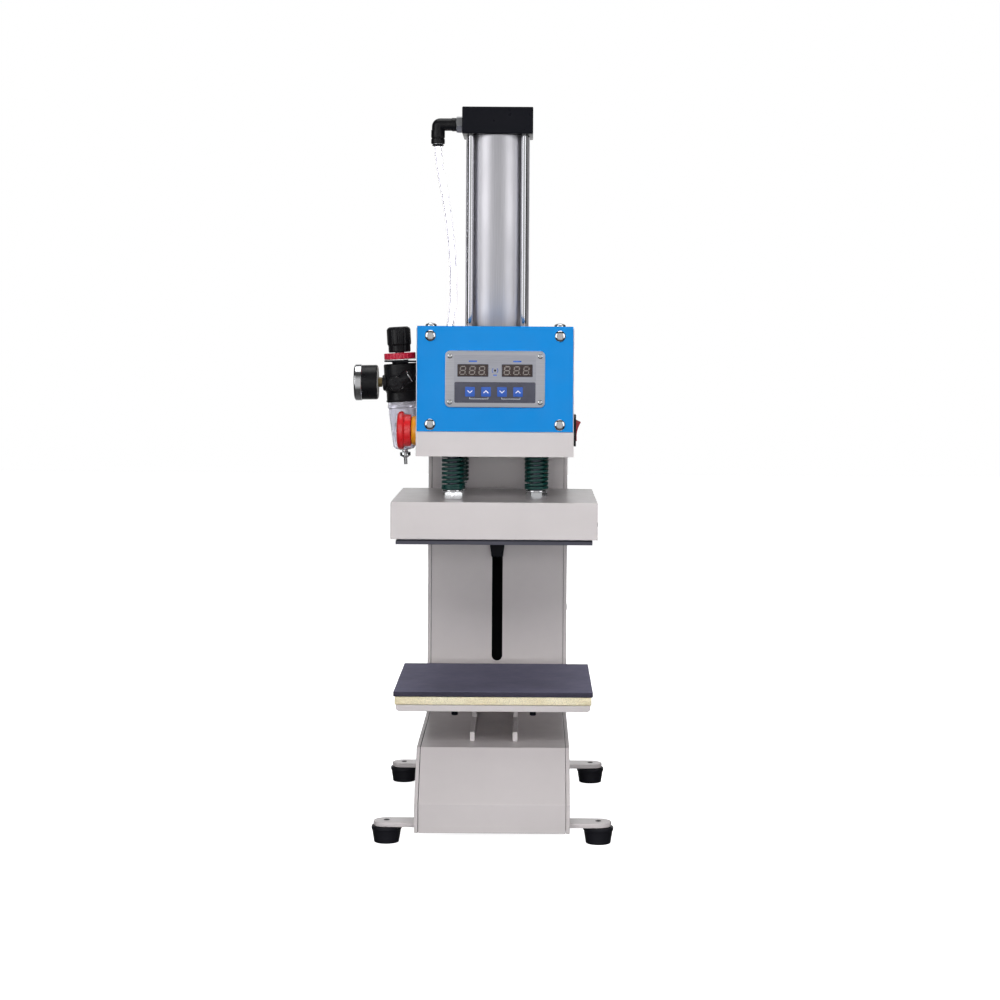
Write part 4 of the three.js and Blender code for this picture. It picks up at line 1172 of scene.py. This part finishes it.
def turn_arrow(name, centre, start):
    """A shallow curved arrow that shows which way the mushroom turns to let go."""
    spread, head_spread, barb = 62, 20, 1.6
    inner, outer = 10.4, 12.6
    shaft = arc_outline(inner, outer, start + spread / 2, spread)
    half = len(shaft) // 2
    end = start + spread
    tip = polar((inner + outer) / 2, end + head_spread)
    outline = [*shaft[:half], polar(outer + barb, end), tip, polar(inner - barb, end), *shaft[half:]]
    place = facing(LEFT, centre + LEFT * 21.12 * MM, FRONT)
    return prism(name, outline, 0.22, place, LABEL_WHITE, "estop_mushroom", 0)


make_switch()
make_estop()


# ---------------------------------------------------------------- filter regulator
REG_AT = (-103.1, 23, 471.1)
REG_TURN = Matrix.Rotation(math.radians(-3.5), 3, "Y")
REG_UP = REG_TURN @ UP
REG_LEFT = REG_TURN @ LEFT
GAUGE_Z = 2.8
OUTLET_X, OUTLET_Z = -3.5, 1.5
OUTLET_LEAN = 1.082  # radians from the regulator's axis
INLET_Z = -2


def reg(x, y, z):
    """A place given in millimetres in the regulator's own leaning frame."""
    return at(*REG_AT) + REG_TURN @ (Vector((x, y, z)) * MM)


on_regulator = lathe(reg(0, 0, 0), REG_UP)


def ribbed(count, depth, share):
    """Shapes a turned solid with round-edged grooves; depth is how deep they go, in millimetres."""

    def at_angle(angle, r, h):
        wave = math.cos(count * angle)
        return r - depth * min(1.0, max(0.0, (wave - 1 + 2 * share) / (2 * share))) ** 0.5 if r > 7 else r

    return at_angle


def make_regulator_body():
    shell = [(5.4, 12), (5.4, 32.8), (8.9, 32.8), (8.9, 22.6), (17.2, 22.7), (18.1, 21.6), (18.1, 17), (18.1, 9.6)]
    shell += [(17.6, 9.2), (17.6, 6), (18.1, 5.6), (18.1, -6), (17.1, -7), (16.6, -8.5), (16.6, -16.2)]
    shell += [(17.2, -16.8), (17.2, -18.4), (0, -18.4), (0, 12)]
    on_regulator("regulator_housing", shell, BLACK_PLASTIC, "black_plastic", 0.5, 96, node="regulator_body")
    ring = [(9.2, 27.5), (16.7, 27.5), (17, 28.1), (17, 33.6), (16.4, 34.2), (9.2, 34.2)]
    on_regulator("regulator_lock_ring", ring, RING_RED, "signal_red", 0.3, 240, radius_at=ribbed(24, 0.55, 0.35))
    # Painted highlight: the plated washer under the lock ring is drawn in white plastic so that it shows as a bright
    # line.
    shim = [(9.2, 26.5), (16.9, 26.5), (16.9, 27.3), (9.2, 27.3)]
    on_regulator("regulator_ring_washer", shim, WHITE_PLASTIC, "plated_steel", 0.2, 72)
    for k in range(4):
        angle = math.radians(45 + 90 * k)
        out = REG_TURN @ Vector((math.cos(angle), math.sin(angle), 0))
        place = facing(out, reg(0, 0, 11) + out * 15.6 * MM, REG_UP)
        rib = prism(f"regulator_rib_{k}", rounded_outline(8, 2.6, 1.0), 2.5, place, BLACK_PLASTIC, "machine", 0.4)


def make_regulator_ports():
    port = [(0, 0), (8.6, 0), (8.6, 4.2), (7.6, 5), (0, 5)]
    lathe(reg(-15, 0, GAUGE_Z), REG_LEFT)("gauge_port", port, BLACK_PLASTIC, "black_plastic", 0.5, 64)
    boss = [(0, 0), (9.6, 0), (9.6, 4.6), (8.8, 5.4), (0, 5.4)]
    for name, out, x, z in (("outlet", FRONT, OUTLET_X, OUTLET_Z), ("inlet", BACK, 0, INLET_Z)):
        start = reg(x, 0, z) + out * 14 * MM
        lathe(start, out)(f"{name}_boss", boss, BLACK_PLASTIC, "black_plastic", 0.6, 64)
        flats = hex_nut(f"{name}_hexagon", 14, 3.6, start + out * 5.42 * MM, CHROME, "machine", out, 0, 9)
    along = REG_TURN @ Vector((math.sin(OUTLET_LEAN), 0, math.cos(OUTLET_LEAN)))
    push_in("outlet", reg(OUTLET_X, -26.2, OUTLET_Z), along, FRONT)
    straight = [(4.2, 0), (7.3, 0), (7.3, 3.4), (6.7, 4.2), (6.7, 9.6), (4.2, 9.6)]
    start = reg(0, 23.1, INLET_Z)
    lathe(start, BACK)("inlet_push_in", straight, BLACK_PLASTIC, "black_plastic", 0.4, 64)
    collar = [(4.1, 0), (5.7, 0), (5.7, 0.9), (4.1, 0.9)]
    lathe(start + BACK * 9.7 * MM, BACK)("inlet_collar", collar, DULL_BLACK, "black_plastic", 0.2, 64)


def push_in(name, centre, direction, port):
    """A swivel elbow: a round knuckle on its port, and a ribbed barrel that ends in a plated ring and a collar."""
    knuckle = [(0, -5), (5.4, -5), (7.3, -3.4), (7.3, 5.2), (6.6, 6.4), (0, 6.4)]
    lathe(centre, port)(f"{name}_knuckle", knuckle, BLACK_PLASTIC, "black_plastic", 0.8, 64)
    barrel = [(0, -6), (6.0, -6), (6.8, -4), (6.8, 1), (6.3, 1.4), (6.3, 4.2), (6.8, 4.6), (6.8, 15)]
    barrel += [(4.2, 15), (4.2, 3), (0, 3)]
    groove = ribbed(14, 0.45, 0.4)
    lathe(centre, direction)(f"{name}_barrel", barrel, BLACK_PLASTIC, "black_plastic", 0.3, 112, radius_at=groove)
    ring = [(4.3, 0), (6.9, 0), (6.9, 1.1), (4.3, 1.1)]
    lathe(centre + direction * 15.05 * MM, direction)(f"{name}_ring", ring, CHROME, "plated_steel", 0.2, 64)
    collar = [(4.1, 0), (5.6, 0), (5.6, 1.4), (4.1, 1.4)]
    lathe(centre + direction * 17.1 * MM, direction)(f"{name}_collar", collar, DULL_BLACK, "black_plastic", 0.2, 64)


def make_regulator_knob():
    spindle = [(0, 12.5), (4.9, 12.5), (4.9, 50.5), (0, 50.5)]
    node = "regulator_spindle"
    on_regulator("regulator_spindle_bar", spindle, STEEL, "plated_steel", 0.5, 40, node, node)
    cap = [(0, 52), (5.4, 52), (5.4, 34.8), (11.2, 34.8), (11.9, 35.8), (11.9, 42.2), (12.9, 43.8), (12.9, 59.4)]
    cap += [(11.8, 61.2), (10.6, 61.8), (10, 62.4), (0, 62.4)]
    node, groove = "regulator_knob", ribbed(12, 0.9, 0.3)
    on_regulator("regulator_knob_cap", cap, BLACK_PLASTIC, "black_plastic", 0.5, 192, node, node, groove)


def make_bowl():
    """The clear bowl with its bead, the pale filter element hanging in it, a baffle and the drain."""
    wall = [(3.4, -70), (9.5, -69.6), (12.4, -66.5), (14.8, -36), (15.2, -25.5), (16.2, -24.6), (16.2, -22.8)]
    wall += [(15.6, -22), (15.8, -18.6), (13.8, -18.6), (12.9, -34), (10.4, -64), (8.5, -67.4), (3.4, -67.6)]
    on_regulator("filter_bowl_shell", wall, CLEAR_BOWL, "clear_bowl", 0.6, 96, node="filter_bowl")
    element = [(0, -20), (7.4, -20), (7.4, -41), (0, -41)]
    pleats = ribbed(30, 0.35, 0.4)
    on_regulator("filter_element", element, WHITE_PLASTIC, "clear_bowl", 0.4, 72, radius_at=pleats)
    skirt = [(0, -18.6), (12.8, -18.6), (12.8, -22), (8.6, -22.8), (8.6, -24), (0, -24)]
    on_regulator("filter_top", skirt, DULL_BLACK, "black_plastic", 0.3, 72)
    baffle = [(0, -41.1), (9.6, -41.1), (10.4, -44.5), (9.4, -44.5), (8.6, -42.6), (0, -42.6)]
    on_regulator("filter_baffle", baffle, DULL_BLACK, "black_plastic", 0.2, 72)
    nipple = [(0, -86.3), (1.8, -86.3), (1.8, -79.4), (5.8, -76.9), (5.8, -73.1), (3.1, -72.5)]
    nipple += [(3.1, -64.2), (0, -64.2)]
    on_regulator("drain_nipple", nipple, CHROME, "chrome", 0.3, 48, "drain_valve", "drain_valve")
    lock = [(3.6, -70.05), (6.4, -70.05), (6.4, -70.4), (3.6, -70.4)]
    on_regulator("drain_lock_ring", lock, CHROME, "black_plastic", 0.2, 48)


def make_bracket():
    dressed("regulator_bracket", BLACK_PAINT, 0.35)
    wall = -81.3 - 1.8
    for k, y in enumerate((-11, 11)):
        screw(f"bracket_screw_{k}", at(wall, REG_AT[1] + y, 514), LEFT, 3.4, 2.0)


make_regulator_body()
make_regulator_ports()
make_regulator_knob()
make_bowl()
make_bracket()


# ---------------------------------------------------------------- pressure gauge
DIAL_RED = moulded("dial_red", srgb(196, 30, 34), 0.5)
DIAL_GREEN = moulded("dial_green", srgb(40, 150, 80), 0.5)
DIAL_WHITE = moulded("dial_white", srgb(244, 245, 243), 0.55)
GLASS = clear("gauge_glass", (0.97, 0.98, 0.99, 1), 0.02, 1.45)
GAUGE_CENTRE = reg(0, 0, GAUGE_Z)
GAUGE_TURN = Matrix.Rotation(math.radians(-1), 3, "Y")
GAUGE_UP = GAUGE_TURN @ UP
GAUGE_LEFT = GAUGE_TURN @ LEFT
ZERO_ANGLE = 225
FULL_TURN = 270
DIAL_STEPS = 50
STEPS_PER_NUMBER = 5
on_gauge = lathe(GAUGE_CENTRE, GAUGE_LEFT)


def dial_place(u, v, height):
    """A place on the dial: u to the reader's right, v up, height along the gauge's axis, in millimetres."""
    return GAUGE_CENTRE + (BACK * -u + GAUGE_UP * v + GAUGE_LEFT * height) * MM


def dial_matrix(angle, radius, height):
    """Lies flat on the dial at an angle from the reader's right, its x pointing outwards along the radius."""
    u, v = polar(1, angle)
    return facing(GAUGE_LEFT, dial_place(radius * u, radius * v, height), FRONT * u + GAUGE_UP * v)


def make_dial():
    disc = [(0, 46.05), (17.5, 46.05), (17.5, 46.35), (0, 46.35)]
    on_gauge("dial_face", disc, DIAL_WHITE, "black_plastic", 0, 96)
    bm = bmesh.new()
    for k in range(DIAL_STEPS + 1):
        angle = ZERO_ANGLE - FULL_TURN * k / DIAL_STEPS
        major = k % STEPS_PER_NUMBER == 0
        length, wide = (2.6, 0.32) if major else (1.4, 0.16)
        outline = [(-length, -wide / 2), (0, -wide / 2), (0, wide / 2), (-length, wide / 2)]
        add_prism(bm, outline, 0.05, dial_matrix(angle, 15.6, 46.37))
    piece("dial_ticks", bm, LABEL_DARK, "machine", doubles=1e-8)
    for name, material, start, end in (("work", DIAL_GREEN, 10, 35), ("limit", DIAL_RED, 42, 50)):
        bm = bmesh.new()
        for k in range(start, end):
            first, last = (ZERO_ANGLE - FULL_TURN * j / DIAL_STEPS for j in (k, k + 1))
            spread = math.radians((first - last) / 2)
            half = 16.3 * math.sin(spread)
            outline = [(-0.3, -half), (0.4, -half), (0.4, half), (-0.3, half)]
            add_prism(bm, outline, 0.05, dial_matrix((first + last) / 2, 16.3, 46.37))
        piece(f"dial_band_{name}", bm, material, "machine", doubles=1e-8)
    for k in range(0, 11, 2):
        make_dial_number(k)


def make_dial_number(value):
    angle = ZERO_ANGLE - FULL_TURN * value * STEPS_PER_NUMBER / DIAL_STEPS
    curve = bpy.data.curves.new(f"number_{value}", "FONT")
    curve.body = str(value)
    curve.size = 3.4 * MM
    curve.extrude = 0.03 * MM
    curve.align_x = "CENTER"
    curve.align_y = "CENTER"
    text = bpy.data.objects.new(f"number_{value}", curve)
    bpy.context.scene.collection.objects.link(text)
    bpy.context.view_layer.update()
    mesh = bpy.data.meshes.new_from_object(text.evaluated_get(bpy.context.evaluated_depsgraph_get()))
    bpy.data.objects.remove(text)
    mesh.materials.clear()
    mesh.materials.append(LABEL_DARK)
    made = bpy.data.objects.new(f"dial_number_{value}", mesh)
    bpy.context.scene.collection.objects.link(made)
    made.matrix_world = facing(GAUGE_LEFT, dial_place(*polar(10.9, angle), 46.4), FRONT)
    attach(made, "machine")


def make_gauge():
    """A 40 mm gauge with a brass stem: black case, steel back drawn white as a painted highlight, chrome bezel, dial,
    pointer and window.
    """
    start = GAUGE_CENTRE + GAUGE_LEFT * 20.55 * MM
    hex_nut("gauge_stem", 9.4, 4.4, start, OLD_BRASS, "machine", GAUGE_LEFT, 0, 15)
    case = [(0, 25.2), (17.6, 25.2), (18.7, 26.4), (18.7, 43.4), (17.6, 43.6), (17.6, 46), (0, 46)]
    on_gauge("gauge_case", case, BLACK_PLASTIC, "black_plastic", 0.3, 96, node="pressure_gauge")
    # Painted highlight: the steel back plate is drawn in white plastic so that its rim looks lit.
    rear = [(0, 25), (17.2, 25), (17.2, 25.15), (0, 25.15)]
    on_gauge("gauge_back", rear, WHITE_PLASTIC, "chrome", 0, 72)
    rim = [(18.75, 42), (19.5, 42), (19.95, 42.6), (19.95, 48.8), (19.1, 50.1), (17.9, 50.35)]
    rim += [(17.62, 49.9), (17.62, 43.7), (18.75, 43.5)]
    on_gauge("gauge_bezel", rim, CHROME, "chrome", 0.5, 128)
    window = [(0, 49.0), (17.55, 49.0), (17.55, 49.7), (0, 49.7)]
    on_gauge("gauge_window", window, GLASS, "clear_bowl", 0.1, 96)
    make_dial()
    hub = [(0, 46.45), (1.9, 46.45), (1.9, 47.9), (0, 47.9)]
    on_gauge("needle_hub", hub, LABEL_DARK, "signal_red", 0.2, 32, "gauge_needle", "gauge_needle")
    blade = [(-4.2, -0.75), (12.6, -0.14), (12.6, 0.14), (-4.2, 0.75)]
    pointer = prism("needle_blade", blade, 0.5, dial_matrix(ZERO_ANGLE, 0, 46.9), DIAL_RED, "gauge_needle", 0.08)


make_gauge()


# ---------------------------------------------------------------- studio
def make_floor():
    """A pale floor that is bright enough to look evenly white."""
    s = Shader("studio_floor", metallic=0.0, roughness=0.6, specular_ior_level=0.2, emission_strength=0.9)
    s.shader.inputs["Emission Color"].default_value = (1, 1, 1, 1)
    s.colour(s.mix(s.ramp(s.noise(3, 2), 0.3, 0.7), (0.93, 0.93, 0.935, 1), (0.95, 0.95, 0.955, 1)))
    bm = bmesh.new()
    half = 6.0
    bm.faces.new([bm.verts.new((x * half, y * half, 0)) for x, y in ((-1, -1), (1, -1), (1, 1), (-1, 1))])
    mesh = bpy.data.meshes.new("studio_floor")
    bm.to_mesh(mesh)
    bm.free()
    floor = bpy.data.objects.new("studio_floor", mesh)
    mesh.materials.append(s.material)
    floor.visible_glossy = False
    floor.visible_diffuse = False
    bpy.context.scene.collection.objects.link(floor)


def area_light(name, place, target, width, height, power, mirrored=True, lights=True):
    data = bpy.data.lights.new(name, "AREA")
    data.shape = "RECTANGLE"
    data.size = width
    data.size_y = height
    data.energy = power
    lamp = bpy.data.objects.new(name, data)
    lamp.location = place
    aim = Vector(target) - Vector(place)
    lamp.rotation_euler = aim.to_track_quat("-Z", "Y").to_euler()
    lamp.visible_glossy = mirrored
    lamp.visible_diffuse = lights
    bpy.context.scene.collection.objects.link(lamp)


def make_world():
    """A white room that is dark to the left and right, above and below, and dimmer on the operator's side."""
    world = bpy.data.worlds.new("studio")
    bpy.context.scene.world = world
    world.use_nodes = True
    room = NodeTree(world.node_tree)
    direction = room.node("ShaderNodeTexCoord").outputs["Generated"]
    x, y, z = room.node("ShaderNodeSeparateXYZ", {0: direction}).outputs
    across = room.ramp(room.math("ABSOLUTE", x), 0.3, 0.6, 1.0, 0.05)
    depth = room.ramp(y, -0.2, 0.4, 0.5, 1.0)
    height = room.ramp(room.math("ABSOLUTE", z), 0.35, 0.7, 1.0, 0.12)
    background = room.tree.nodes["Background"].inputs
    room.feed(background["Strength"], room.math("MULTIPLY", room.math("MULTIPLY", across, depth), height))
    room.feed(background["Color"], (1, 1, 1, 1))


def make_lights():
    """Two tall soft boxes that metal mirrors, and broad light from the front, above and the sides."""
    area_light("key", (-1.6, -1.6, 0.9), (0, 0, 0.5), 1.3, 1.8, 11, lights=False)
    area_light("fill", (1.6, -1.6, 0.9), (0, 0, 0.5), 1.2, 1.8, 9, lights=False)
    area_light("top", (0, 0.1, 2.2), (0, 0, 0.3), 1.4, 1.4, 12)
    area_light("front_low", (0.05, -2.5, 0.45), (0, 0, 0.38), 1.2, 0.6, 25, mirrored=False)
    area_light("front_high", (0.0, -2.2, 1.35), (0, 0, 0.2), 1.6, 0.6, 25, mirrored=False)
    area_light("side_left", (-2.4, 0.5, 0.9), (0, 0, 0.4), 1.4, 1.4, 14, mirrored=False)
    area_light("side_right", (2.4, 0.5, 0.9), (0, 0, 0.4), 1.4, 1.4, 14, mirrored=False)
    area_light("rear", (0, 2.6, 1.0), (0, 0, 0.4), 1.6, 1.2, 22, mirrored=False)


make_floor()
make_world()
make_lights()
bpy.context.scene.view_settings.view_transform = "Standard"
bpy.context.scene.view_settings.look = "None"
